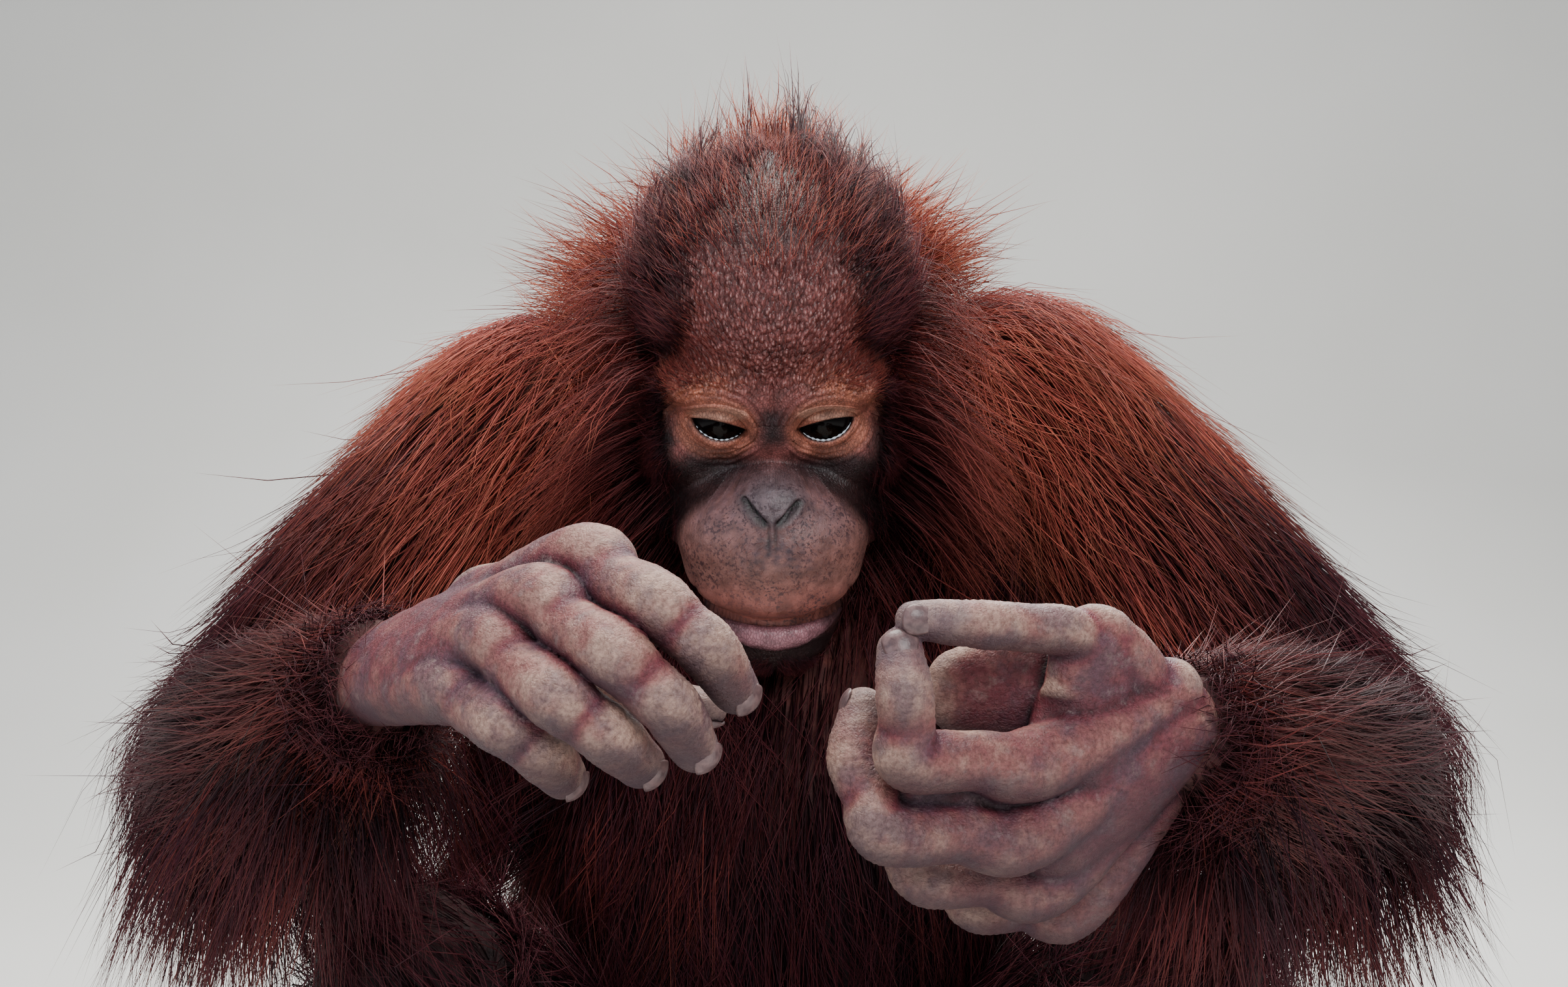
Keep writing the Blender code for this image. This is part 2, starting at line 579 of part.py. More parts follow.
# What each node is cut back from, so that it meets its neighbour across the gap.
MEETS = {
    "torso": ("head",),
    "neck": ("torso", "head"),
    "upper_arm_left": ("torso", "neck", "head", "thigh_left"),
    "upper_arm_right": ("torso", "neck", "head", "thigh_right"),
    "forearm_left": ("upper_arm_left", "thigh_left", "shank_left", "torso"),
    "forearm_right": ("upper_arm_right", "thigh_right", "shank_right", "torso"),
    "thigh_left": ("torso",),
    "thigh_right": ("torso",),
    "shank_left": ("thigh_left", "torso"),
    "shank_right": ("thigh_right", "torso"),
    "hand_left": ("forearm_left",),
    "hand_right": ("forearm_right",),
    "foot_left": ("shank_left",),
    "foot_right": ("shank_right",),
    "ear_left": ("head",),
    "ear_right": ("head",),
}
# Rows of locks: the first and last row and how many, how many in a row and between which turns,
# how far each lock runs along the form, and its half width.
LOCKS = {
    "torso": (1.3, 7.0, 6, 8, (0, 360), -1.45, 0.030),
    "neck": (3.3, 1.8, 2, 5, (-15, 195), -2.3, 0.022),
    "upper_arm_left": (0.5, 4.6, 4, 4, (0, 360), 1.6, 0.024),
    "upper_arm_right": (0.5, 4.6, 4, 4, (0, 360), 1.6, 0.024),
    "forearm_left": (3.8, 1.4, 3, 4, (0, 360), -1.4, 0.019),
    "forearm_right": (3.8, 1.4, 3, 4, (0, 360), -1.4, 0.019),
    "thigh_left": (1.0, 3.2, 2, 5, (0, 360), 1.4, 0.024),
    "thigh_right": (1.0, 3.2, 2, 5, (0, 360), 1.4, 0.024),
    "shank_left": (0.9, 2.6, 2, 4, (0, 360), 1.3, 0.018),
    "shank_right": (0.9, 2.6, 2, 4, (0, 360), 1.3, 0.018),
}
# The same for the head, in degrees off straight ahead and round it.
HEAD_LOCKS = (86, 128, 4, 8, (-5, 185), 17, 0.014)
LOCK_RISE = 0.0035
LOCK_CLEAR = 0.0013
LOCK_LEAST = 0.004
ROOT_SHARE = 0.10


def form(name, called, share, grow=0.0, finer=1):
    """One coated form, or the head, out to a share of its coat."""
    if name == "head":
        return head_form(called, share, grow)
    shape, around = TUBES[name]
    return tube(called, shape, around, finer, share, grow, floor=name == "torso")


def tree_of(obj):
    """The surface of a closed object, ready to be asked how far places lie outside it."""
    work = bmesh.new()
    work.from_mesh(obj.data)
    tree = BVHTree.FromBMesh(work)
    work.free()
    return tree


def inside(point, tree):
    """Whether a place lies inside a closed surface: a ray from it then crosses that an odd number of times."""
    way, crossed = Vector((0.61, 0.23, 0.76)), False
    start = Vector(point)
    while start is not None:
        start = tree.ray_cast(start + way * 1e-6, way)[0]
        crossed = crossed != (start is not None)
    return crossed


def clear_of(points, trees):
    """Whether all the points stay outside these surfaces, and over the floor."""
    for point in points:
        if point[2] < LOCK_CLEAR:
            return False
        for tree in trees:
            if tree.find_nearest(Vector(point))[3] < LOCK_CLEAR or inside(point, tree):
                return False
    return True


def lock_points(at, reach, s, t, run, drift, half_width, lift):
    """A flat three-sided lock: sunk root, two bends and a fine tip, lying along the form."""
    u = np.array([0.0, 0.38, 0.74, 1.0])
    share = ROOT_SHARE + (lift - ROOT_SHARE) * u ** 0.55
    width = half_width * np.array([0.70, 1.0, 0.62, 0.0])
    rise = LOCK_RISE * np.array([1.0, 1.0, 0.7, 0.0])
    row, turn = np.clip(s + run * u, *reach), t + drift * u * u
    around = np.linalg.norm(at(row, turn + 0.05, share) - at(row, turn - 0.05, share), axis=-1) / 0.1
    off = width / around
    middle = at(row, turn, share)
    out = unit(at(row, turn, share, 0.01) - middle)
    left, right = at(row, turn - off, share), at(row, turn + off, share)
    rings = np.stack([left, middle + out * rise[:, None], right], 1)
    depth = [np.linalg.norm(at(row, turn + o, 1.0) - at(row, turn + o, 0.0), axis=-1) for o in (-off, off)]
    return rings[:3], rings[0].mean(0), middle[3], np.min(depth)


def locks(name, rows, trees):
    """Locks in staggered rows, each shortened and laid flatter until it clears the neighbours."""
    first, last, count, each, (low, high), run, half_width = rows
    draw = np.random.default_rng(sum(name.encode()))
    if name == "head":
        at, reach = head_at, (0.1, 3.0)
        first, last, run = math.radians(first), math.radians(last), math.radians(run)
    else:
        shape = TUBES[name][0]
        reach = (-0.85, len(shape[0]) - 0.15)

        def at(s, t, share, grow=0.0):
            return tube_at(shape, s, t, share, grow)

    made = []
    for i, s in enumerate(np.linspace(first, last, count)):
        for j in range(each):
            step = (high - low) / each
            t = math.radians(low + step * (j + 0.25 + 0.5 * (i % 2) + draw.uniform(-0.12, 0.12)))
            start = s + run * draw.uniform(-0.12, 0.12)
            drift, wide, long = draw.uniform(-0.16, 0.16), draw.uniform(0.85, 1.15), draw.uniform(0.85, 1.1)
            for shorter, lift in ((1.0, 0.96), (0.85, 0.90), (0.7, 0.84), (0.55, 0.78)):
                parts = lock_points(at, reach, start, t, run * long * shorter, drift, half_width * wide, lift)
                rings, depth = parts[0], parts[3]
                if depth < LOCK_LEAST:
                    continue
                ridge = rings[:, 1]
                tests = [*rings.reshape(-1, 3), parts[2], *((rings[1:] + rings[:-1]) / 2).reshape(-1, 3)]
                tests.append((ridge[-1] + parts[2]) / 2)
                if clear_of(tests, trees):
                    made.append(closed_mesh("lock", *parts[:3]))
                    break
    return made


def head():
    """The head with its sockets, lids, nostrils, mouth line and lips."""
    made = form("head", "head", CORE_SHARE)
    lids = [lid("lid", side, upper) for side in (1, -1) for upper in (True, False)]
    lower = [face_point(x, z, 0.0012) for x, z in LOWER_LIP]
    boolean(made, "UNION", [*lids, groove("lip", lower, LIP_HALF)])
    cuts = [ball("socket", in_head(*eye_centre(side)), EYE_RADIUS + GAP) for side in (1, -1)]
    cuts.append(groove("mouth", [face_point(x, z, 0.0012) for x, z in MOUTH_LINE], MOUTH_HALF))
    for side in (1, -1):
        slit = [face_point(side * x, z, sink) for x, z, sink in NOSTRIL]
        cuts.append(groove("nostril", slit, NOSTRIL_HALF))
    return boolean(made, "DIFFERENCE", cuts)


def build():
    clear_scene()
    made = {"head": head()}
    for name in TUBES:
        made[name] = form(name, name, CORE_SHARE)
    for side, word in ((1, "left"), (-1, "right")):
        made[f"eye_{word}"] = ball(f"eye_{word}", in_head(*eye_centre(side)), EYE_RADIUS)
        made[f"ear_{word}"] = ear(f"ear_{word}", side)
        made[f"foot_{word}"] = foot(f"foot_{word}", side, FOOT_SHIFT[word])
    made["hand_left"] = hand("hand_left", WRIST_LEFT, LEFT_DIGITS)
    made["hand_right"] = hand("hand_right", WRIST_RIGHT, RIGHT_DIGITS)
    # Locks keep clear of the full coat of each neighbour that is cut back from their own node.
    trees = {}
    for name in MEETS:
        if name in TUBES:
            full = form(name, "full", 1.0, finer=2)
            trees[name] = tree_of(full)
            bpy.data.objects.remove(full)
        else:
            trees[name] = tree_of(made[name])
    for name, rows in {**LOCKS, "head": HEAD_LOCKS}.items():
        near = [trees[other] for other, others in MEETS.items() if name in others]
        boolean(made[name], "UNION", locks(name, rows, near))
    for name, others in MEETS.items():
        boolean(made[name], "DIFFERENCE", [form(other, "cutter", CORE_SHARE, GAP) for other in others])
    whole = bpy.data.collections.new("orangutan")
    bpy.context.scene.collection.children.link(whole)
    for name, node in made.items():
        bpy.context.scene.collection.objects.unlink(node)
        whole.objects.link(node)
        if name.startswith("eye"):
            paint(node, "wet", EYE_BLACK, 0.1)
        elif name.startswith(("hand", "foot", "ear")):
            paint(node, "skin", SKIN_GREY, 0.6)
        elif name == "head":
            paint(node, "skin", HEAD_BROWN, 0.5)
        else:
            paint(node, "coat", COAT_RED, 0.8)


build()
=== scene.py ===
# %% [markdown]
# # A seated young orangutan
# The real animal sits on the ground, hunched, its head bent over its two hands. It is a bare face,
# bare hands and feet, and everywhere else a long shaggy coat over dark skin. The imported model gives
# its true outline. This script dresses that: fine skin, wet eyes, nails, and a coat of solid strands.

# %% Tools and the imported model
import json
import math

import bmesh
import bpy
import numpy as np
from mathutils import Matrix, Vector
from mathutils.bvhtree import BVHTree

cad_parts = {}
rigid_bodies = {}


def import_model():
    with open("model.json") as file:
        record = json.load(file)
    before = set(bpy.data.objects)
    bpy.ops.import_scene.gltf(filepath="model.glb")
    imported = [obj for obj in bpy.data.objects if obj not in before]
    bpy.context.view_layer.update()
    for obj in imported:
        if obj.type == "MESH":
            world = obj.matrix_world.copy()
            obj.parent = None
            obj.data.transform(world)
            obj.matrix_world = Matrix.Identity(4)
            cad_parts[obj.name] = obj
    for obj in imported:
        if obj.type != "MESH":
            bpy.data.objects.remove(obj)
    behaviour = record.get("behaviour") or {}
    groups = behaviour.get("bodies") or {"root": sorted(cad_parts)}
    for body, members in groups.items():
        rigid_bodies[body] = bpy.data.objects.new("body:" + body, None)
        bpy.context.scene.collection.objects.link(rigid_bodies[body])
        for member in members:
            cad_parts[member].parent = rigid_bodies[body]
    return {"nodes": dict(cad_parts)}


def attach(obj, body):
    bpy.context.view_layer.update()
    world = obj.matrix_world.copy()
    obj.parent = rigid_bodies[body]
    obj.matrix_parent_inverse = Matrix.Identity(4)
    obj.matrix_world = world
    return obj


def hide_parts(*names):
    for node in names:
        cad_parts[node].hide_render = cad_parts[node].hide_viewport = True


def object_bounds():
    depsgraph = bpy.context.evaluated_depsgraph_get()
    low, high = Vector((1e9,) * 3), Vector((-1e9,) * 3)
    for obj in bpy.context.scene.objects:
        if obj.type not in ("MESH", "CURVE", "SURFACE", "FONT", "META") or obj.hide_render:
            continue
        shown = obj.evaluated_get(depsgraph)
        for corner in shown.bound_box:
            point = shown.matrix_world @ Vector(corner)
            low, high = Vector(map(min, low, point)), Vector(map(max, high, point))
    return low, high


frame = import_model()
packed_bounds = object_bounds()
print("packed nodes:", sorted(frame["nodes"]))

# %% [markdown]
# ## Small helpers
# Every surface here is a grid of points worked out with numpy. It could be sculpted by hand, but a
# formula keeps each form tied to its sizes. A grid that closes on itself becomes a skin with two poles.

# %% Mesh helpers
def unit(rows):
    """Vectors divided by their own lengths."""
    return rows / np.maximum(np.linalg.norm(rows, axis=-1, keepdims=True), 1e-12)


def smooth_step(value, low, high):
    """3s^2 - 2s^3, with s going from 0 at low to 1 at high."""
    share = np.clip((value - low) / (high - low), 0.0, 1.0)
    return share * share * (3 - 2 * share)


def bell(value, width):
    """exp(-(value / width)^2), one at the middle and almost nothing two widths away."""
    return np.exp(-((value / width) ** 2))


def grid_faces(rows, columns, closed):
    """Four-sided faces of a grid, joined round in its second direction when it is closed."""
    i = np.arange(rows - 1)[:, None]
    j = np.arange(columns if closed else columns - 1)[None, :]
    k = (j + 1) % columns
    return np.stack([i * columns + j, i * columns + k, (i + 1) * columns + k, (i + 1) * columns + j], -1).reshape(-1, 4)


def new_piece(name, points, faces, smooth=True):
    """A mesh object from an array of points and a list of faces."""
    mesh = bpy.data.meshes.new(name)
    mesh.from_pydata(points.reshape(-1, 3).tolist(), [], [tuple(f) for f in faces])
    mesh.update()
    if smooth:
        mesh.shade_smooth()
    piece = bpy.data.objects.new(name, mesh)
    bpy.context.scene.collection.objects.link(piece)
    return piece


def turn_outwards(piece):
    """Makes the faces of a closed mesh point outwards."""
    work = bmesh.new()
    work.from_mesh(piece.data)
    bmesh.ops.recalc_face_normals(work, faces=work.faces)
    work.to_mesh(piece.data)
    work.free()


def closed_grid(name, rings, poles):
    """A closed skin through rings of points and a pole past each end."""
    rows, columns = rings.shape[:2]
    points = np.vstack([rings.reshape(-1, 3), poles])
    faces = grid_faces(rows, columns, True).tolist()
    first, last, end = rows * columns, rows * columns + 1, (rows - 1) * columns
    for j in range(columns):
        k = (j + 1) % columns
        faces.append((first, k, j))
        faces.append((last, end + j, end + k))
    piece = new_piece(name, points, faces)
    turn_outwards(piece)
    return piece


def give(piece, name, values):
    """Stores one number or one colour a point as an attribute that a material can read."""
    kind = "FLOAT" if values.ndim == 1 else "FLOAT_COLOR"
    layer = piece.data.attributes.new(name, kind, "POINT")
    layer.data.foreach_set("value" if values.ndim == 1 else "color", values.astype(np.float32).ravel())


def points_of(piece):
    """The points of a mesh as an array."""
    flat = np.empty(len(piece.data.vertices) * 3)
    piece.data.vertices.foreach_get("co", flat)
    return flat.reshape(-1, 3)


def normals_of(piece):
    """The normals at the points of a mesh as an array."""
    flat = np.empty(len(piece.data.vertices) * 3)
    piece.data.vertices.foreach_get("normal", flat)
    return flat.reshape(-1, 3)


def move_points(piece, points):
    """Puts an array of points back into a mesh."""
    piece.data.vertices.foreach_set("co", points.ravel())
    piece.data.update()


# %% Colour and node helpers
def linear(hex_colour):
    """An sRGB hex colour as linear red, green, blue and one for alpha."""
    parts = [int(hex_colour[i : i + 2], 16) / 255 for i in (1, 3, 5)]
    return (*[p / 12.92 if p <= 0.04045 else ((p + 0.055) / 1.055) ** 2.4 for p in parts], 1.0)


NOISE, CELLS, RAMP = "ShaderNodeTexNoise", "ShaderNodeTexVoronoi", "ShaderNodeValToRGB"
MATHS, MIX, BUMP = "ShaderNodeMath", "ShaderNodeMixRGB", "ShaderNodeBump"
PLACE, READ, STRETCH = "ShaderNodeTexCoord", "ShaderNodeAttribute", "ShaderNodeVectorMath"


def add_node(tree, kind, output=0, stops=(), **settings):
    """Adds a shader node with its settings and links, and gives one of its outputs.

    A setting named as one of the node's properties sets it. Any other name, or i and a number, is an
    input, which takes a value or the output that feeds it. Stops are a ramp's places and hex colours.
    """
    made = tree.nodes.new(kind)
    for key, value in settings.items():
        if hasattr(made, key):
            setattr(made, key, value)
            continue
        socket = made.inputs[int(key[1:]) if key[1:].isdigit() else key.replace("_", " ")]
        if isinstance(value, bpy.types.NodeSocket):
            tree.links.new(value, socket)
        else:
            socket.default_value = value
    for _ in stops[2:]:
        made.color_ramp.elements.new(0.5)
    for element, (place, colour) in zip(made.color_ramp.elements if stops else (), stops):
        element.position, element.color = place, linear(colour)
    return made.outputs[output]


def new_material(name, **settings):
    """A named Principled material and its node tree and shader."""
    made = bpy.data.materials.new(name)
    made.use_nodes = True
    shader = made.node_tree.nodes["Principled BSDF"]
    for key, value in settings.items():
        shader.inputs[key.replace("_", " ")].default_value = value
    return made, made.node_tree, shader


def finish_with(piece, material):
    """Gives a piece its material and its place on the body."""
    piece.data.materials.clear()
    piece.data.materials.append(material)
    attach(piece, "root")


# %% [markdown]
# ## The head's skin
# A young orangutan's bare face is one thin, finely folded skin. The head could be sculpted, but here it
# is the same set of rounded masses as the model's solid, seen as rays from a middle point: on each ray
# the skin lies where the blended masses end. That gives a grid round the whole head with its rings
# close together on the face. Folds are then added as small moves along the ray.

# %% Head sizes, in metres in the head's own frame: x to its left, y back, z up, from the eye line
EYE_LINE = Vector((0.0, -0.078, 0.429))
HEAD_PITCH = math.radians(35.0)
HEAD_FRAME = np.array(Matrix.Translation(EYE_LINE) @ Matrix.Rotation(HEAD_PITCH, 4, "X"))
HEAD_HUB = np.array((0.0, 0.030, -0.014))
EYE_SPACING, EYE_RADIUS, EYE_DEPTH, EYE_DROP = 0.0464, 0.0124, 0.0119, -0.0038
LID_CORNERS, LID_SLANT, LID_OPEN, LID_THICK = (-65.0, 69.0), (-9.0, 15.0), (26.5, -19.5), 0.0019
HEAD_MASSES = [
    ((0.000, 0.064, 0.034), (0.057, 0.066, 0.058)),
    ((0.000, 0.030, -0.002), (0.049, 0.034, 0.033)),
    ((0.022, 0.010, 0.015), (0.025, 0.013, 0.011)),
    ((-0.022, 0.010, 0.015), (0.025, 0.013, 0.011)),
    ((0.036, 0.026, -0.022), (0.018, 0.024, 0.020)),
    ((-0.036, 0.026, -0.022), (0.018, 0.024, 0.020)),
    ((0.000, -0.004, -0.051), (0.043, 0.037, 0.028)),
    ((0.000, -0.013, -0.029), (0.015, 0.013, 0.011)),
    ((0.000, -0.010, -0.067), (0.038, 0.033, 0.0135)),
    ((0.000, -0.009, -0.089), (0.031, 0.032, 0.011)),
    ((0.000, -0.010, -0.100), (0.028, 0.029, 0.014)),
    ((0.033, 0.040, -0.056), (0.024, 0.034, 0.034)),
    ((-0.033, 0.040, -0.056), (0.024, 0.034, 0.034)),
    ((0.000, 0.034, -0.076), (0.036, 0.038, 0.028)),
    ((0.000, 0.010, -0.092), (0.031, 0.028, 0.018)),
]
HEAD_HOLLOWS = [
    ((0.024, -0.010, -0.003), (0.018, 0.016, 0.013)),
    ((-0.024, -0.010, -0.003), (0.018, 0.016, 0.013)),
]
MASS_BLEND, HOLLOW_BLEND = 0.010, 0.005
CROWN_HAIR, CHEEK_HAIR, CREST_HAIR, SIDE_HAIR = 0.032, 0.010, 0.012, 0.022
EAR_PLACE, EAR_BARE = np.array((0.0525, 0.068, 0.010)), 0.022


def smooth_least(a, b, blend):
    """The lesser of two distances, rounded off where they are about equal."""
    share = np.clip(0.5 + 0.5 * (b - a) / blend, 0.0, 1.0)
    return b * (1 - share) + a * share - blend * share * (1 - share)


def mass_distance(points, centre, half):
    """Rough distance from an ellipsoid: k1 (k1 - 1) / k2, with k1 and k2 the lengths scaled once and twice."""
    away = points - np.array(centre)
    near = np.linalg.norm(away / np.array(half), axis=-1)
    slope = np.linalg.norm(away / np.array(half) ** 2, axis=-1)
    return near * (near - 1.0) / np.maximum(slope, 1e-9)


def head_distance(points):
    """Rough distance from the bare head: the masses blended together, less the eye sockets."""
    least = np.full(points.shape[:-1], 1.0)
    for centre, half in HEAD_MASSES:
        least = smooth_least(least, mass_distance(points, centre, half), MASS_BLEND)
    for centre, half in HEAD_HOLLOWS:
        least = -smooth_least(-least, mass_distance(points, centre, half), HOLLOW_BLEND)
    return least


def hair_depth(points):
    """Depth of the hair at places on the bare head: none on the face, most on the crown and sides."""
    x, y, z = points[..., 0], points[..., 1], points[..., 2]
    hairline = 0.022 + 0.27 * np.maximum(z, 0.0)
    grown = smooth_step(y, hairline, hairline + 0.024)
    long = np.maximum(smooth_step(z, -0.015, 0.035), smooth_step(y, 0.070, 0.110))
    crest = CREST_HAIR * bell(x, 0.020) * smooth_step(z, 0.02, 0.06)
    sides = SIDE_HAIR * smooth_step(np.abs(x), 0.025, 0.050) * smooth_step(y + z, 0.050, 0.090)
    return grown * (CHEEK_HAIR + (CROWN_HAIR - CHEEK_HAIR) * long + crest + sides)


def to_world(points):
    """From the head's own frame to the model's."""
    return points @ HEAD_FRAME[:3, :3].T + HEAD_FRAME[:3, 3]


def to_head(points):
    """From the model's frame to the head's own."""
    return (points - HEAD_FRAME[:3, 3]) @ HEAD_FRAME[:3, :3]


def head_ray(tilt, turn):
    """The way out of the head's middle at a tilt off straight ahead and a turn round it."""
    return np.stack([np.sin(tilt) * np.cos(turn), -np.cos(tilt), np.sin(tilt) * np.sin(turn)], -1)


def skin_radius(ways):
    """How far along each ray the skin lies, by halving: 22 steps from 20 cm come to less than a micrometre."""
    inner, outer = np.full(ways.shape[:-1], 0.01), np.full(ways.shape[:-1], 0.20)
    for _ in range(22):
        middle = (inner + outer) / 2
        inside = head_distance(HEAD_HUB + ways * middle[..., None]) < 0
        inner, outer = np.where(inside, middle, inner), np.where(inside, outer, middle)
    return inner


# %% [markdown]
# ## Where things are on the face
# Folds and markings are placed as they are seen from straight in front of the animal, across and up
# from the point between the eyes, in millimetres. Each one is a short formula in these two numbers.

# %% Face coordinates and lines
def face_mm(points):
    """Millimetres across and up from the point between the eyes, seen level from 0.75 m in front."""
    nearer = 0.75 / (points[..., 1] + 0.83)
    across = points[..., 0] * nearer
    up = (points[..., 2] - 0.40) * nearer - 0.029
    return across * 1000, up * 1000


def line_distance(x, z, corners):
    """Distance in mm from a bent line, and how far along it, from 0 to 1, the nearest place is."""
    corners = np.array(corners, float)
    best, where = np.full(x.shape, 1e9), np.zeros(x.shape)
    steps = np.linalg.norm(np.diff(corners, axis=0), axis=1)
    starts = np.concatenate([[0], np.cumsum(steps)])
    for k, (a, b) in enumerate(zip(corners[:-1], corners[1:])):
        way = b - a
        share = np.clip(((x - a[0]) * way[0] + (z - a[1]) * way[1]) / (way @ way), 0, 1)
        away = np.hypot(x - a[0] - share * way[0], z - a[1] - share * way[1])
        near = away < best
        best = np.where(near, away, best)
        where = np.where(near, (starts[k] + share * steps[k]) / starts[-1], where)
    return best, where


def curve(corners, steps=8):
    """A smooth line through corners, each span cut into steps by the Catmull-Rom formula."""
    rows = np.array(corners, float)
    rows = np.vstack([2 * rows[0] - rows[1], rows, 2 * rows[-1] - rows[-2]])
    f = np.linspace(0, 1, steps, endpoint=False)[:, None]
    out = []
    for a, b, c, d in zip(rows[:-3], rows[1:-2], rows[2:-1], rows[3:]):
        out.append(0.5 * (2 * b + (c - a) * f + (2 * a - 5 * b + 4 * c - d) * f**2 + (3 * b - a - 3 * c + d) * f**3))
    return np.vstack([*out, rows[-2:-1]])


MOUTH = curve([(-33, -74.5), (-24, -80.5), (-12, -84.5), (0, -86.0), (12, -84.8), (24, -80.8), (33, -73.5)])
NOSTRILS = [curve([(-12.0, -31.4), (-9.4, -35.4), (-6.0, -39.4), (-3.2, -41.8)]), curve([(11.2, -32.8), (8.8, -36.2), (5.7, -39.8), (2.8, -41.8)])]
MUZZLE_TOP = curve([(-47, -46), (-37, -36), (-24, -28.5), (-14, -25), (0, -23.5), (14, -25), (25, -28.5), (36, -35.5), (45, -45)])

# %% Eyelid shape
def lid_margin(share, upper):
    """Height in degrees of a lid's edge: the slanted line between the corners, bowed by sin(pi t)^0.8."""
    corner = LID_SLANT[0] + (LID_SLANT[1] - LID_SLANT[0]) * share
    bow = LID_OPEN[0] if upper else LID_OPEN[1]
    return corner + bow * np.sin(math.pi * share) ** 0.8


def eye_centre(side):
    return np.array([side * EYE_SPACING / 2, EYE_DEPTH, EYE_DROP])


def eye_angles(points, side):
    """Degrees across, outwards, and up of points in the head's frame, seen from an eyeball's middle."""
    away = points - eye_centre(side)
    across = np.degrees(np.arctan2(side * away[..., 0], -away[..., 1]))
    up = np.degrees(np.arctan2(away[..., 2], np.hypot(away[..., 0], away[..., 1])))
    return across, up


# %% [markdown]
# Wrinkled skin is never even, so the folds are broken up by a wavering value: a few long waves in
# different directions added together. It is the same each run and needs no table of random numbers.

# %% Folds and markings as formulas
def waver(x, z, size, seed=0.0):
    """Sum of four sine waves about so many mm long, in turned directions, from about -1 to 1."""
    total = np.zeros(np.shape(x))
    for k in range(4):
        way = seed * 1.7 + k * 2.4
        wave = (np.cos(way) * x + np.sin(way) * z) * (0.8 + 0.27 * k) / size
        total = total + np.sin(2 * math.pi * wave + 5.1 * k + seed)
    return total / 3.0


UNDER_EYE = {1: curve([(38, 3), (32.5, -6), (24, -9.2), (15.5, -7.6), (9.5, -3)]), -1: curve([(-39, 3), (-33, -6), (-24.5, -9.2), (-16, -7.6), (-9.5, -3)])}
OVER_EYE = {1: curve([(41, 4), (33, 9.5), (23, 10.2), (14, 6.5), (9, 0)]), -1: curve([(-42, 4), (-34, 9.5), (-24, 10.2), (-15, 6.5), (-9.5, 0)])}


def fold_depth(x, z):
    """How far in mm the face's folds stand out (or sink, under zero) at places across and up."""
    out = np.zeros(x.shape)
    wander = 0.9 * waver(x, z, 13.0, 1.0)
    # Forehead: one furrow up from the nose bridge, with soft ridges fanning from it.
    out -= 1.3 * bell(x + 0.4 * wander, 1.1) * smooth_step(z, 0, 6) * (1 - smooth_step(z, 20, 32))
    fan = np.arctan2(x, z + 6.0)
    out += 0.28 * np.sin(fan * 46 + 1.3 * wander) * smooth_step(z, 8, 16) * (1 - smooth_step(z, 34, 60))
    # Arched folds over each upper lid and ringed folds under each lower lid.
    for side in (1, -1):
        away, along = line_distance(x, z, OVER_EYE[side])
        over = away * np.where(z > np.interp(x * side, OVER_EYE[1][::-1, 0], OVER_EYE[1][::-1, 1]), 1, -1)
        hill = smooth_step(over, 0.0, 1.5) * (1 - smooth_step(over, 7, 13))
        out += hill * (0.55 * np.cos(2 * math.pi * (over - 1.0 + 0.35 * wander) / 3.1) + 0.5)
        away, along = line_distance(x, z, UNDER_EYE[side])
        under = away * np.where(z < np.interp(x * side, UNDER_EYE[1][::-1, 0], UNDER_EYE[1][::-1, 1]), 1, -1)
        rings = smooth_step(under, -2.0, 0.5) * (1 - smooth_step(under, 6.5, 11))
        rings = rings * smooth_step(along, 0.0, 0.12) * (1 - smooth_step(along, 0.88, 1.0))
        out += 0.34 * rings * np.cos(2 * math.pi * (under + 0.45 * wander) / (1.9 + 0.06 * under))
    # Cheek folds from under the eyes down along the muzzle's upper border.
    away, along = line_distance(x, z, MUZZLE_TOP)
    above = z > np.interp(x, MUZZLE_TOP[:, 0], MUZZLE_TOP[:, 1])
    out -= 1.1 * bell(away, 1.7) * smooth_step(np.abs(x), 10, 18)
    ripple = np.cos(2 * math.pi * (away + wander) / 3.2) * bell(away - 5, 5.0)
    out += np.where(above, 0.42 * ripple, 0.0) * smooth_step(np.abs(x), 12, 22) * (1 - smooth_step(np.abs(x), 50, 60))
    # Nose: a soft pad, the two slanted nostrils with raised rims, and the groove down from them.
    out += 0.8 * bell(x, 9.0) * bell(z + 31, 8.0)
    for line in NOSTRILS:
        away, along = line_distance(x, z, line)
        open_here = np.sin(math.pi * np.clip(0.12 + 0.80 * along, 0, 1))
        out -= 3.8 * bell(away, 1.15 * (0.6 + 0.5 * open_here)) * open_here
        out += 0.6 * bell(away - 2.7, 1.2)
    out -= 0.8 * (bell(x - 1.5, 0.7) + bell(x + 1.5, 0.7)) * smooth_step(z, -57, -50) * (1 - smooth_step(z, -44, -41))
    # Mouth: the line between the lips, the full lower lip and a fold at each corner.
    away, along = line_distance(x, z, MOUTH)
    below = np.interp(x, MOUTH[:, 0], MOUTH[:, 1]) - z
    out -= 2.0 * bell(away, 1.0) * np.sin(math.pi * np.clip(along, 0.03, 0.97)) ** 0.3
    inside = 1 - smooth_step(np.abs(x), 20, 31)
    out += 1.5 * inside * bell(below - 4.4, 3.0)
    out -= 0.8 * inside * bell(below - 10.0, 1.8)
    out += 0.5 * bell(below + 3.5, 2.5) * (1 - smooth_step(np.abs(x), 26, 36))
    for side in (1, -1):
        away, along = line_distance(x, z, [(side * 32, -68), (side * 36.5, -74), (side * 35, -80)])
        out -= 0.9 * bell(away, 1.3)
    return out


# %% [markdown]
# The markings are broad: dark brown on the forehead and cheeks, almost black between the eyes, a warm
# tan round them and on the muzzle, a blue grey nose and a pink lower lip. Each is one named colour laid
# over the last with a soft edge, and stored on the points. The fine speckles come from the material.

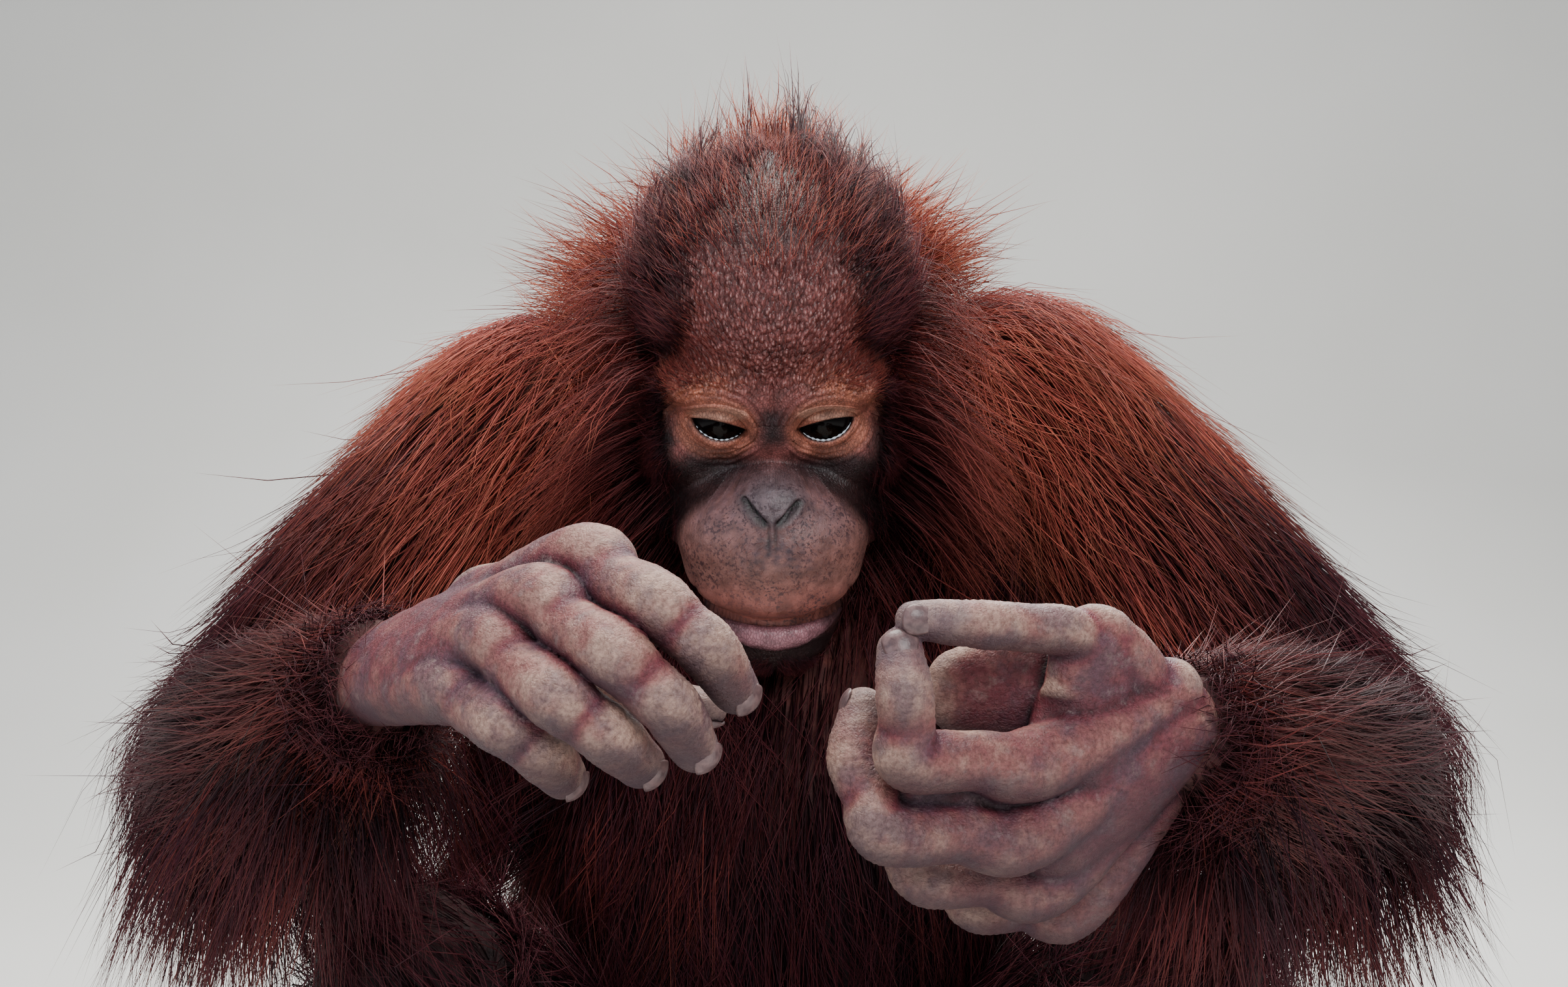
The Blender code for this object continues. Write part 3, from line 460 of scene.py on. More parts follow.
# %% Face colours
SKIN_BROWN = np.array(linear("#b26a66"))
BROW_TAN = np.array(linear("#e88e6c"))
LID_PEACH = np.array(linear("#efb49c"))
UNDER_TAN = np.array(linear("#d0826a"))
BRIDGE_DARK = np.array(linear("#2c1c22"))
CHEEK_DARK = np.array(linear("#1f1315"))
NOSE_GREY = np.array(linear("#74676d"))
MUZZLE_TAN = np.array(linear("#aa766c"))
MUZZLE_GREY = np.array(linear("#86666c"))
MUZZLE_RED = np.array(linear("#a8665c"))
SMUDGE_BLUE = np.array(linear("#554853"))
LIP_PINK = np.array(linear("#b8808a"))
# The chin's dark skin, also used for painted shade in the nostrils, the grooves under the nose and the mouth line.
CHIN_DARK_AND_PAINTED_SHADE = np.array(linear("#2a1a1c"))
SCALP_BROWN = np.array(linear("#2a1119"))


def lay_over(base, colour, share):
    return base + (colour - base) * np.clip(share, 0, 1)[..., None]


def muzzle_share(x, z):
    """1 on the round muzzle and 0 off it, from its upper border and a wide oval."""
    top = np.interp(x, MUZZLE_TOP[:, 0], MUZZLE_TOP[:, 1])
    oval = np.hypot(x / 44.0, (z + 58) / 35.0)
    return smooth_step(top - z, -1.5, 3.0) * (1 - smooth_step(oval, 0.90, 1.06))


def face_colour(x, z, front):
    """The skin's colour at places across and up, with front 1 on the face and 0 behind the hairline."""
    wander = waver(x, z, 17.0, 2.0)
    fine = waver(x, z, 5.0, 4.0)
    colour = np.broadcast_to(SKIN_BROWN, (*x.shape, 4)).copy()
    colour = lay_over(colour, SCALP_BROWN, smooth_step(z, 62, 84) * 0.85)
    colour = lay_over(colour, CHEEK_DARK, smooth_step(np.abs(x) + 0.12 * np.abs(z - 20), 38 + 2 * wander, 51 + 2 * wander))
    colour = lay_over(colour, CHEEK_DARK, smooth_step(-z, 10, 20) * smooth_step(np.abs(x), 2, 22) * 0.92)
    for side in (1, -1):
        brow = bell((x - side * 31) / 15, 1.0) * bell((z - 17 + 0.25 * (np.abs(x) - 28)) / 8.0, 1.0)
        colour = lay_over(colour, BROW_TAN, 1.05 * brow * (0.85 + 0.25 * fine))
        ring = np.hypot((x - side * 23.5) / 18.5, (z + 1.5) / 13.5)
        colour = lay_over(colour, UNDER_TAN, (1 - smooth_step(ring, 0.80, 1.12)) * (0.92 + 0.12 * fine))
        lid = np.hypot((x - side * 23.3) / 13.5, (z - 5.2 - 0.05 * side * (x - side * 23)) / 3.2)
        colour = lay_over(colour, LID_PEACH, 0.95 * (1 - smooth_step(lid, 0.72, 1.1)))
    colour = lay_over(colour, BRIDGE_DARK, 0.95 * bell(x, 8.0 + 0.5 * wander) * smooth_step(z, -14, -4) * (1 - smooth_step(z, 3, 13)))
    colour = lay_over(colour, BRIDGE_DARK, 0.9 * bell(z + 19 - 0.10 * np.abs(x), 5.5) * (1 - smooth_step(np.abs(x), 34, 44)))
    on_muzzle = muzzle_share(x, z)
    muzzle = lay_over(np.broadcast_to(MUZZLE_TAN, colour.shape), MUZZLE_RED, smooth_step(-z, 62, 78))
    muzzle = lay_over(muzzle, MUZZLE_GREY, 0.7 * smooth_step(z, -60, -36) * (1 - smooth_step(np.abs(x), 26, 46)) * (0.9 + 0.3 * fine))
    smudge = bell((x - 2) / 19, 1.0) * bell((z + 53 + 0.3 * np.abs(x)) / 9.0, 1.0)
    muzzle = lay_over(muzzle, SMUDGE_BLUE, 0.75 * smudge * (0.85 + 0.5 * fine))
    colour = colour + (muzzle - colour) * on_muzzle[..., None]
    nose = 0.85 * (1 - smooth_step(np.hypot(x / 15.0, (z + 32.5) / 11.0), 0.55, 1.35))
    colour = lay_over(colour, NOSE_GREY, nose)
    # Painted shade: the nostrils are painted almost black along their lines.
    for line in NOSTRILS:
        away, along = line_distance(x, z, line)
        colour = lay_over(colour, CHIN_DARK_AND_PAINTED_SHADE * 0.3, bell(away, 1.9) * 1.3)
    # Painted shade: the two grooves under the nose are painted darker.
    groove = (bell(x - 1.5, 0.8) + bell(x + 1.5, 0.8)) * smooth_step(z, -57, -50) * (1 - smooth_step(z, -44, -41))
    colour = lay_over(colour, CHIN_DARK_AND_PAINTED_SHADE, 0.7 * groove)
    below = np.interp(x, MOUTH[:, 0], MOUTH[:, 1]) - z
    colour = lay_over(colour, CHIN_DARK_AND_PAINTED_SHADE, smooth_step(below, -0.5, 2.5) * 0.95)
    # Painted shade: the line between the lips is painted darker.
    away, along = line_distance(x, z, MOUTH)
    colour = lay_over(colour, CHIN_DARK_AND_PAINTED_SHADE * 0.6, 1.1 * bell(away, 0.8))
    return lay_over(colour, SCALP_BROWN, 1 - front)


# %% The head's skin
HEAD_TURNS, HEAD_RINGS = 288, 184
EYE_ZONE = (0.0236, 0.0000, 0.0172, 0.0132)


def head_skin():
    """Rings round the head's rays, close together on the face and wide apart behind."""
    tilt = np.radians(np.concatenate([np.linspace(1.0, 78.0, 150), np.linspace(78.0, 179.0, HEAD_RINGS - 149)[1:]]))
    turn = np.linspace(0.0, 2 * math.pi, HEAD_TURNS, endpoint=False)
    ways = head_ray(*np.meshgrid(tilt, turn, indexing="ij"))
    skin = HEAD_HUB + ways * skin_radius(ways)[..., None]
    x, z = face_mm(to_world(skin))
    front = 1 - smooth_step(skin[..., 1], 0.034, 0.056)
    move = fold_depth(x, z) * front / 1000
    for side in (1, -1):
        zone = np.hypot((skin[..., 0] - side * EYE_ZONE[0]) / EYE_ZONE[2], (skin[..., 2] - EYE_ZONE[1]) / EYE_ZONE[3])
        move = move - 0.006 * (1 - smooth_step(zone, 0.62, 0.90)) * (skin[..., 1] < 0.03)
    skin = skin + ways * move[..., None]
    colour = face_colour(x, z, front)
    rings = to_world(skin)
    poles = np.stack([rings[0].mean(0), rings[-1].mean(0)])
    piece = closed_grid("head_skin", rings, poles)
    ends = np.stack([colour[0].mean(0), colour[-1].mean(0)])
    give(piece, "skin_colour", np.vstack([colour.reshape(-1, 4), ends]))
    share = muzzle_share(x, z) * front
    give(piece, "muzzle", np.append(share.ravel(), (1.0, 0.0)))
    below = np.interp(x, MOUTH[:, 0], MOUTH[:, 1]) - z
    wet = smooth_step(below, 0.0, 1.5) * (1 - smooth_step(below, 6.5, 9.0)) * (1 - smooth_step(np.abs(x), 20, 30)) * front
    give(piece, "wet", np.append(wet.ravel(), (0.0, 0.0)))
    give(piece, "front", np.append(front.ravel(), (1.0, 0.0)))
    pebble = smooth_step(z, 6, 20) * (1 - smooth_step(np.abs(x), 38, 50)) * (1 - 0.85 * smooth_step(z, 66, 86)) * front
    give(piece, "pebble", np.append(pebble.ravel(), (0.0, 0.0)))
    return piece


head_piece = head_skin()
print("head skin:", len(head_piece.data.polygons), "faces")

# %% [markdown]
# ## Eyelids and eyes
# The lids are the part that a viewer looks at first. One grid goes round each eye: it starts on the
# eyeball, rounds the lid's thick edge, follows the ball up to the fold, and runs out onto the face,
# where its last rings sink under the head's skin. The seam then falls among the wrinkles.

# %% Eyelid skin
def face_y(x, z):
    """How far back the bare face lies at places across and up in the head's frame, by halving."""
    front, back = np.full(x.shape, -0.09), np.full(x.shape, 0.032)
    for _ in range(22):
        middle = (front + back) / 2
        inside = head_distance(np.stack([x, middle, z], -1)) < 0
        back, front = np.where(inside, middle, back), np.where(inside, front, middle)
    return back


LID_AROUND = 200
LID_EDGE = [(3.0, -0.6), (0.0, 0.25), (0.8, 0.85), (2.6, 1.3), (5.0, 1.6), (8.0, 1.75), (11.0, 1.85), (14.0, 1.9), (17.0, 1.85), (19.5, 1.6), (21.5, 1.1)]


def lid_skin(side):
    """Round the eye: rings at angles past the lid's edge and heights off the ball, then out to an oval on the face."""
    phase = np.linspace(0, 2 * math.pi, LID_AROUND, endpoint=False)
    share = (1 - np.cos(phase)) / 2
    upper = phase < math.pi
    across = LID_CORNERS[0] + (LID_CORNERS[1] - LID_CORNERS[0]) * share
    up = lid_margin(share, True) * upper + lid_margin(share, False) * ~upper
    middle = (2.0, 6.0)
    ways = np.stack([across - middle[0], (up - middle[1]) * 2.0], -1)
    ways = unit(ways)
    room = np.where(upper, 1.0, 0.72) * (0.55 + 0.45 * np.abs(ways[:, 1]))
    rings = []
    for angle, rise in LID_EDGE:
        reach = angle if angle < 1 else angle * room
        a = np.radians(across + ways[:, 0] * reach)
        b = np.radians(up + ways[:, 1] * reach)
        radius = EYE_RADIUS + rise / 1000
        rings.append(eye_centre(side) + radius * np.stack([side * np.sin(a) * np.cos(b), -np.cos(a) * np.cos(b), np.sin(b)], -1))
    rings = np.array(rings)
    last = rings[-1]
    bearing = np.arctan2(last[:, 2] - EYE_ZONE[1], side * (last[:, 0] - side * EYE_ZONE[0]))
    rim_x = side * (EYE_ZONE[0] + EYE_ZONE[2] * np.cos(bearing))
    rim_z = EYE_ZONE[1] + EYE_ZONE[3] * np.sin(bearing)
    outer = []
    shares = np.linspace(0, 1, 20)[1:]
    for q in shares:
        x = last[:, 0] + (rim_x - last[:, 0]) * q
        z = last[:, 2] + (rim_z - last[:, 2]) * q
        on_face = face_y(x, z)
        merge = smooth_step(q, -0.05, 0.55)
        # A soft roll stands up just past the fold, then the skin settles onto the face.
        roll = 0.0011 * np.sin(math.pi * np.clip(q / 0.40, 0, 1)) * (0.5 + 0.5 * upper)
        y = last[:, 1] + (on_face - last[:, 1]) * merge - roll - 0.0004 * (1 - smooth_step(q, 0.86, 1.0)) + 0.0016 * smooth_step(q, 0.90, 1.0)
        outer.append(np.stack([x, y, z], -1))
    rings = np.concatenate([rings, np.array(outer)])
    places = to_world(rings)
    x, z = face_mm(places)
    folds = fold_depth(x, z) / 1000
    kept = np.concatenate([np.zeros(len(LID_EDGE)), smooth_step(shares, 0.0, 0.35)])
    outwards = unit(rings - np.array([side * 0.020, 0.045, -0.004]))
    rings = rings + outwards * (folds * kept[:, None])[..., None]
    places = to_world(rings)
    piece = new_piece(f"eyelids_{'left' if side > 0 else 'right'}", places, grid_faces(*places.shape[:2], True))
    x, z = face_mm(places)
    colour = face_colour(x, z, np.ones(x.shape))
    edge = np.zeros(x.shape)
    edge[:3] = [[1.0], [1.0], [0.7]]
    colour = lay_over(colour, BRIDGE_DARK * 0.5, edge)
    give(piece, "skin_colour", colour.reshape(-1, 4))
    give(piece, "muzzle", np.zeros(x.size))
    give(piece, "wet", edge.ravel())
    give(piece, "front", np.ones(x.size))
    give(piece, "pebble", (smooth_step(z, 6, 20) * (1 - smooth_step(np.abs(x), 38, 50))).ravel())
    # The open sheet gets a thickness inwards, so that it is a closed skin.
    solid = piece.modifiers.new("thickness", "SOLIDIFY")
    solid.thickness = 0.0006
    solid.offset = -1.0
    return piece


def eyeball(side):
    """A ball with a low clear bulge over the iris, from rings round the way that the eye looks."""
    tilt = np.radians(np.linspace(2, 178, 60))
    turn = np.linspace(0, 2 * math.pi, 72, endpoint=False)
    tilt, turn = np.meshgrid(tilt, turn, indexing="ij")
    radius = (EYE_RADIUS - 0.0004) * (1 + 0.045 * bell(tilt, 0.52))
    look = Matrix.Rotation(math.radians(16.0), 3, "X")
    rings = radius[..., None] * np.stack([np.sin(tilt) * np.cos(turn), -np.cos(tilt), np.sin(tilt) * np.sin(turn)], -1)
    rings = rings @ np.array(look).T + eye_centre(side)
    places = to_world(rings)
    piece = closed_grid(f"eyeball_{'left' if side > 0 else 'right'}", places, np.stack([places[0].mean(0), places[-1].mean(0)]))
    give(piece, "off_axis", np.append(np.degrees(tilt).ravel(), (0.0, 180.0)))
    return piece


def painted_tear_reflection(side):
    """A thin wet bead along the lower lid, pale as a painted reflection of the sky: a round profile carried along the
    lid's edge, thin at its ends.
    """
    share = np.linspace(0.08, 0.93, 60)
    a = np.radians(LID_CORNERS[0] + (LID_CORNERS[1] - LID_CORNERS[0]) * share)
    b = np.radians(lid_margin(share, False) + 1.6)
    ways = np.stack([side * np.sin(a) * np.cos(b), -np.cos(a) * np.cos(b), np.sin(b)], -1)
    path = eye_centre(side) + (EYE_RADIUS + 0.00005) * ways
    along = unit(np.gradient(path, axis=0))
    across = unit(np.cross(along, ways))
    wide = 0.00046 * np.sin(math.pi * (share - 0.07) / 0.87) ** 0.5 * (1 + 0.50 * np.sin(share * 75))
    turn = np.linspace(0, 2 * math.pi, 10, endpoint=False)[None, :, None]
    rings = path[:, None] + wide[:, None, None] * (np.cos(turn) * across[:, None] + 0.8 * np.sin(turn) * ways[:, None])
    places = to_world(rings)
    return closed_grid(f"painted_tear_reflection_{'left' if side > 0 else 'right'}", places, np.stack([places[0].mean(0), places[-1].mean(0)]))


def search_tree(piece):
    """A tree that finds the nearest face of a piece, or the face that a ray meets."""
    return BVHTree.FromObject(piece, bpy.context.evaluated_depsgraph_get())


head_tree = search_tree(head_piece)


def on_face(x, z):
    """The place on the face that is seen at so many millimetres across and up."""
    ways = unit(np.stack([x / 750.0, 1.0 + 0 * x, (z + 29.0) / 750.0], -1))
    return np.array([head_tree.ray_cast(Vector((0.0, -0.83, 0.40)), Vector(way))[0] for way in ways])


LIP_REACH, LIP_HIGH, LIP_DEEP = 29.0, 5.6, 4.2


def lower_lip():
    """A full roll under the mouth line: an oval carried along the line, sin(pi s)^0.6 thick, thin at its ends."""
    share = np.linspace(0.0, 1.0, 90)
    x = (2 * share - 1) * LIP_REACH
    size = np.sin(math.pi * (0.02 + 0.96 * share)) ** 0.6
    line = np.interp(x, MOUTH[:, 0], MOUTH[:, 1])
    upper = on_face(x, line + 1.2)
    middle = on_face(x, line - 0.2 - LIP_HIGH * 0.92 * size)
    middle[:, 1] = 0.45 * middle[:, 1] + 0.55 * (upper[:, 1] + 0.0010) + 0.0006
    for _ in range(6):
        middle[1:-1] = (middle[:-2] + 2 * middle[1:-1] + middle[2:]) / 4
    along = unit(np.gradient(middle, axis=0))
    out = unit(np.cross(along, [0.0, -0.30, 1.0]) * [1, 1, 1])
    out = out * np.sign(-out[:, 1:2])
    up = np.cross(along, out)
    up = up * np.sign(up[:, 2:3])
    turn = np.linspace(0, 2 * math.pi, 36, endpoint=False)[None, :, None]
    crease = 1 + 0.018 * np.sin(share * 260)[:, None, None] + 0.02 * np.sin(share * 37 + 1)[:, None, None]
    rings = middle[:, None] + size[:, None, None] * crease / 1000 * (
        LIP_HIGH * np.cos(turn) * up[:, None] + LIP_DEEP * np.sin(turn) * out[:, None])
    piece = closed_grid("lower_lip", rings, np.stack([rings[0].mean(0), rings[-1].mean(0)]))
    fade = np.repeat(size, 36)
    low = np.tile(np.cos(np.linspace(0, 2 * math.pi, 36, endpoint=False)), 90)
    colour = np.broadcast_to(LIP_PINK, (len(fade), 4))
    colour = lay_over(colour, CHIN_DARK_AND_PAINTED_SHADE * 2.2, (1 - smooth_step(fade, 0.45, 0.95)) * 0.85)
    colour = lay_over(colour, CHIN_DARK_AND_PAINTED_SHADE * 1.6, smooth_step(-low, 0.35, 1.0) * 0.75)
    ends = np.tile(CHIN_DARK_AND_PAINTED_SHADE, (2, 1))
    give(piece, "skin_colour", np.vstack([colour, ends]))
    give(piece, "muzzle", np.zeros(len(fade) + 2))
    give(piece, "wet", np.append(0.85 * fade, (0.0, 0.0)))
    give(piece, "front", np.ones(len(fade) + 2))
    give(piece, "pebble", np.zeros(len(fade) + 2))
    return piece


lip_piece = lower_lip()
eyelid_pieces = [lid_skin(side) for side in (1, -1)]
eye_pieces = [eyeball(side) for side in (1, -1)]
tear_pieces = [painted_tear_reflection(side) for side in (1, -1)]
print("eyelids:", [len(p.data.polygons) for p in eyelid_pieces])

# %% [markdown]
# ## Skin and eye finishes
# Ape facial skin is thin and slightly oily: soft wide highlights, a fine net of creases and small dark
# speckles of pigment. It could be painted as a picture, but noise and cells at their real size give
# the same detail from any distance. The eye is a wet ball, almost black, with a warm brown iris.

# %% Face skin material
def face_skin_material():
    made, tree, shader = new_material("ape face skin, oily and finely creased", IOR=1.42)
    place = add_node(tree, PLACE, "Object")
    colour = add_node(tree, READ, "Color", attribute_name="skin_colour")
    muzzle = add_node(tree, READ, "Fac", attribute_name="muzzle")
    wet = add_node(tree, READ, "Fac", attribute_name="wet")
    # Pigment: broad mottling everywhere, and dark speckles about 1 mm across on the muzzle.
    mottle = add_node(tree, RAMP, Fac=add_node(tree, NOISE, Vector=place, Scale=1000 / 6.0, Detail=4.0, Roughness=0.55), stops=[(0.30, "#8c8c8c"), (0.70, "#ffffff")])
    colour = add_node(tree, MIX, Fac=0.75, Color1=colour, Color2=mottle, blend_type="MULTIPLY")
    freckle = add_node(tree, RAMP, Fac=add_node(tree, NOISE, Vector=place, Scale=1000 / 1.5, Detail=3.0, Roughness=0.6), stops=[(0.50, "#000000"), (0.59, "#ffffff")])
    patch = add_node(tree, RAMP, Fac=add_node(tree, NOISE, Vector=place, Scale=1000 / 13.0, Detail=2.0, Roughness=0.55), stops=[(0.30, "#000000"), (0.58, "#ffffff")])
    share = add_node(tree, MATHS, operation="MULTIPLY", i0=add_node(tree, MATHS, operation="MULTIPLY", i0=freckle, i1=muzzle), i1=patch)
    colour = add_node(tree, MIX, Fac=add_node(tree, MATHS, operation="MULTIPLY", i0=share, i1=0.8), Color1=colour, Color2=linear("#3a2830"))
    # Creases: a net about 1.5 mm across on the face, half that on the muzzle, where the skin is smoother. The colour is
    # painted darker along the net, painted shade in the creases.
    warped = add_node(tree, STRETCH, operation="MULTIPLY", i0=place, i1=(1.0, 1.0, 0.55))
    net = add_node(tree, CELLS, "Distance", feature="DISTANCE_TO_EDGE", Vector=warped, Scale=1000 / 1.25)
    painted_net_shade = add_node(tree, RAMP, Fac=net, stops=[(0.02, "#7a6868"), (0.20, "#ffffff")])
    net_share = add_node(tree, MATHS, operation="SUBTRACT", i0=0.55, i1=add_node(tree, MATHS, operation="MULTIPLY", i0=muzzle, i1=0.45))
    net_share = add_node(tree, MATHS, operation="SUBTRACT", i0=net_share, i1=add_node(tree, MATHS, operation="MULTIPLY", i0=wet, i1=0.10))
    colour = add_node(tree, MIX, Fac=net_share, Color1=colour, Color2=painted_net_shade, blend_type="MULTIPLY")
    # The forehead is pebbly: low domes under 2 mm across, painted darker between them as painted shade and paler on top
    # as painted glints.
    pebble = add_node(tree, READ, "Fac", attribute_name="pebble")
    domes = add_node(tree, CELLS, "Distance", feature="F1", Vector=warped, Scale=1000 / 1.8)
    colour = add_node(tree, MIX, Fac=add_node(tree, MATHS, operation="MULTIPLY", i0=pebble, i1=0.70), Color1=colour, Color2=add_node(tree, RAMP, Fac=domes, stops=[(0.12, "#ffffff"), (0.62, "#74444a")]), blend_type="MULTIPLY")
    # Painted highlight: pale glints on the dome tops.
    pale = add_node(tree, MATHS, operation="MULTIPLY", i0=add_node(tree, RAMP, Fac=domes, stops=[(0.06, "#ffffff"), (0.30, "#000000")]), i1=add_node(tree, MATHS, operation="MULTIPLY", i0=pebble, i1=0.42))
    colour = add_node(tree, MIX, Fac=pale, Color1=colour, Color2=linear("#e0b8b4"))
    tree.links.new(colour, shader.inputs["Base Color"])
    net_height = add_node(tree, MATHS, operation="MINIMUM", i0=add_node(tree, MATHS, operation="MULTIPLY", i0=net, i1=3.0), i1=0.6)
    net_height = add_node(tree, MATHS, operation="MULTIPLY", i0=net_height, i1=net_share)
    grain = add_node(tree, NOISE, Vector=place, Scale=1000 / 0.9, Detail=3.0, Roughness=0.6)
    pores = add_node(tree, NOISE, Vector=place, Scale=1000 / 2.6, Detail=3.0, Roughness=0.6)
    soft = add_node(tree, BUMP, Height=pores, Distance=0.35 / 1000)
    fine = add_node(tree, BUMP, Height=grain, Distance=0.16 / 1000, Normal=soft)
    creased = add_node(tree, BUMP, Height=net_height, Distance=0.34 / 1000, Normal=fine)
    dome_height = add_node(tree, MATHS, operation="MULTIPLY", i0=add_node(tree, MATHS, operation="SUBTRACT", i0=1.0, i1=add_node(tree, MATHS, operation="MULTIPLY", i0=domes, i1=1.5)), i1=pebble)
    tree.links.new(add_node(tree, BUMP, Height=dome_height, Distance=1.0 / 1000, Normal=creased), shader.inputs["Normal"])
    dull = add_node(tree, MATHS, operation="ADD", i0=add_node(tree, MATHS, operation="MULTIPLY", i0=add_node(tree, NOISE, Vector=place, Scale=1000 / 3.0, Detail=3.0, Roughness=0.55), i1=0.25), i1=0.32)
    dull = add_node(tree, MATHS, operation="SUBTRACT", i0=dull, i1=add_node(tree, MATHS, operation="MULTIPLY", i0=wet, i1=0.22))
    dull = add_node(tree, MATHS, operation="SUBTRACT", i0=dull, i1=add_node(tree, MATHS, operation="MULTIPLY", i0=pebble, i1=0.20))
    tree.links.new(dull, shader.inputs["Roughness"])
    shader.inputs["Subsurface Weight"].default_value = 0.08
    shader.inputs["Subsurface Radius"].default_value = (0.004, 0.0015, 0.001)
    shader.inputs["Specular IOR Level"].default_value = 0.6
    return made


face_skin = face_skin_material()
for piece in (head_piece, *eyelid_pieces, lip_piece):
    finish_with(piece, face_skin)
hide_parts("head")


# %% Eye materials
def eye_material():
    """Iris rings by the angle off the way the eye looks: pupil, dark brown iris, brown black white."""
    made, tree, shader = new_material("wet eye, almost black", Roughness=0.10, IOR=1.34)
    angle = add_node(tree, READ, "Fac", attribute_name="off_axis")
    place = add_node(tree, PLACE, "Object")
    ring = add_node(tree, MATHS, operation="DIVIDE", i0=angle, i1=90.0)
    colour = add_node(tree, RAMP, Fac=ring, stops=[(0.13, "#030203"), (0.17, "#190d08"), (0.34, "#120a07"), (0.38, "#070506"), (0.60, "#100a0c")])
    streaks = add_node(tree, RAMP, Fac=add_node(tree, NOISE, Vector=place, Scale=1000 / 0.8, Detail=3.0, Roughness=0.55), stops=[(0.3, "#909090"), (0.7, "#ffffff")])
    tree.links.new(add_node(tree, MIX, Fac=0.8, Color1=colour, Color2=streaks, blend_type="MULTIPLY"), shader.inputs["Base Color"])
    shader.inputs["Specular IOR Level"].default_value = 0.22
    return made


wet_eye = eye_material()
# Painted reflection: the tear bead's pale blue white colour is a painted reflection of the sky.
tear_reflection_paint, _, tear_reflection_shader = new_material("tear film, glassy, painted pale sky reflection", Roughness=0.05, IOR=1.35)
tear_reflection_shader.inputs["Base Color"].default_value = linear("#dfe9f5")
tear_reflection_shader.inputs["Coat Weight"].default_value = 1.0
for word, ball, bead in zip(("left", "right"), eye_pieces, tear_pieces):
    finish_with(ball, wet_eye)
    finish_with(bead, tear_reflection_paint)
    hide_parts(f"eye_{word}")


# %% [markdown]
# ## The body under the coat
# The trunk and limbs are rounded tubes through a few stations, each with a centre, two half sizes and
# the depth of its coat. The same numbers place the model's solids. The tubes could stay apart, but
# joined by a fine remesh they become one skin with no seam at the shoulders, hips and knees.

# %% Body stations, in metres: centre, half width, half depth, coat depth
TORSO = [
    (0.000, 0.004, 0.045, 0.086, 0.074, 0.010),
    (0.000, 0.010, 0.090, 0.104, 0.090, 0.018),
    (0.000, 0.016, 0.150, 0.110, 0.100, 0.022),
    (0.000, 0.028, 0.220, 0.108, 0.098, 0.025),
    (0.000, 0.047, 0.290, 0.104, 0.082, 0.027),
    (0.000, 0.061, 0.350, 0.104, 0.066, 0.027),
    (0.000, 0.061, 0.392, 0.100, 0.058, 0.025),
    (0.000, 0.052, 0.422, 0.074, 0.046, 0.020),
]
NECK = [
    (0.000, 0.048, 0.450, 0.068, 0.042, 0.022),
    (0.000, 0.044, 0.466, 0.080, 0.048, 0.034),
    (0.000, 0.038, 0.478, 0.076, 0.034, 0.032),
]
UPPER_ARM_LEFT = [
    (0.080, 0.046, 0.438, 0.038, 0.034, 0.016),
    (0.112, 0.045, 0.450, 0.046, 0.042, 0.034),
    (0.158, 0.015, 0.412, 0.042, 0.038, 0.030),
    (0.200, -0.022, 0.360, 0.036, 0.034, 0.030),
    (0.236, -0.054, 0.310, 0.031, 0.032, 0.033),
    (0.250, -0.068, 0.290, 0.029, 0.030, 0.034),
]
UPPER_ARM_RIGHT = [
    (-0.080, 0.046, 0.428, 0.038, 0.034, 0.016),
    (-0.112, 0.045, 0.438, 0.046, 0.042, 0.034),
    (-0.150, 0.015, 0.402, 0.042, 0.038, 0.030),
    (-0.188, -0.022, 0.354, 0.036, 0.034, 0.030),
    (-0.219, -0.052, 0.306, 0.031, 0.032, 0.033),
    (-0.232, -0.065, 0.287, 0.029, 0.030, 0.034),
]
FOREARM_LEFT = [
    (0.247, -0.077, 0.292, 0.022, 0.020, 0.016),
    (0.234, -0.103, 0.294, 0.032, 0.029, 0.028),
    (0.195, -0.160, 0.303, 0.031, 0.027, 0.025),
    (0.157, -0.215, 0.314, 0.024, 0.020, 0.015),
    (0.1375, -0.243, 0.321, 0.021, 0.016, 0.007),
]
FOREARM_RIGHT = [
    (-0.230, -0.074, 0.290, 0.022, 0.020, 0.016),
    (-0.218, -0.099, 0.295, 0.032, 0.029, 0.028),
    (-0.186, -0.150, 0.309, 0.031, 0.027, 0.025),
    (-0.152, -0.203, 0.327, 0.024, 0.020, 0.015),
    (-0.134, -0.231, 0.337, 0.021, 0.016, 0.007),
]
THIGH_LEFT = [
    (0.052, 0.004, 0.082, 0.052, 0.052, 0.014),
    (0.084, -0.040, 0.106, 0.052, 0.052, 0.018),
    (0.122, -0.096, 0.158, 0.045, 0.046, 0.020),
    (0.150, -0.139, 0.200, 0.038, 0.040, 0.020),
    (0.156, -0.150, 0.212, 0.035, 0.036, 0.019),
]
THIGH_RIGHT = [
    (-0.052, 0.004, 0.082, 0.052, 0.052, 0.014),
    (-0.080, -0.040, 0.106, 0.052, 0.052, 0.018),
    (-0.112, -0.096, 0.158, 0.045, 0.046, 0.020),
    (-0.137, -0.139, 0.201, 0.038, 0.040, 0.020),
    (-0.142, -0.150, 0.213, 0.035, 0.036, 0.019),
]
SHANK_LEFT = [
    (0.156, -0.150, 0.196, 0.026, 0.026, 0.010),
    (0.154, -0.146, 0.168, 0.033, 0.036, 0.018),
    (0.146, -0.136, 0.120, 0.027, 0.030, 0.017),
    (0.139, -0.128, 0.078, 0.022, 0.025, 0.012),
    (0.137, -0.127, 0.058, 0.022, 0.025, 0.007),
]
SHANK_RIGHT = [
    (-0.142, -0.150, 0.197, 0.026, 0.026, 0.010),
    (-0.140, -0.146, 0.168, 0.033, 0.036, 0.018),
    (-0.135, -0.136, 0.120, 0.027, 0.030, 0.017),
    (-0.131, -0.128, 0.078, 0.022, 0.025, 0.012),
    (-0.130, -0.127, 0.058, 0.022, 0.025, 0.007),
]
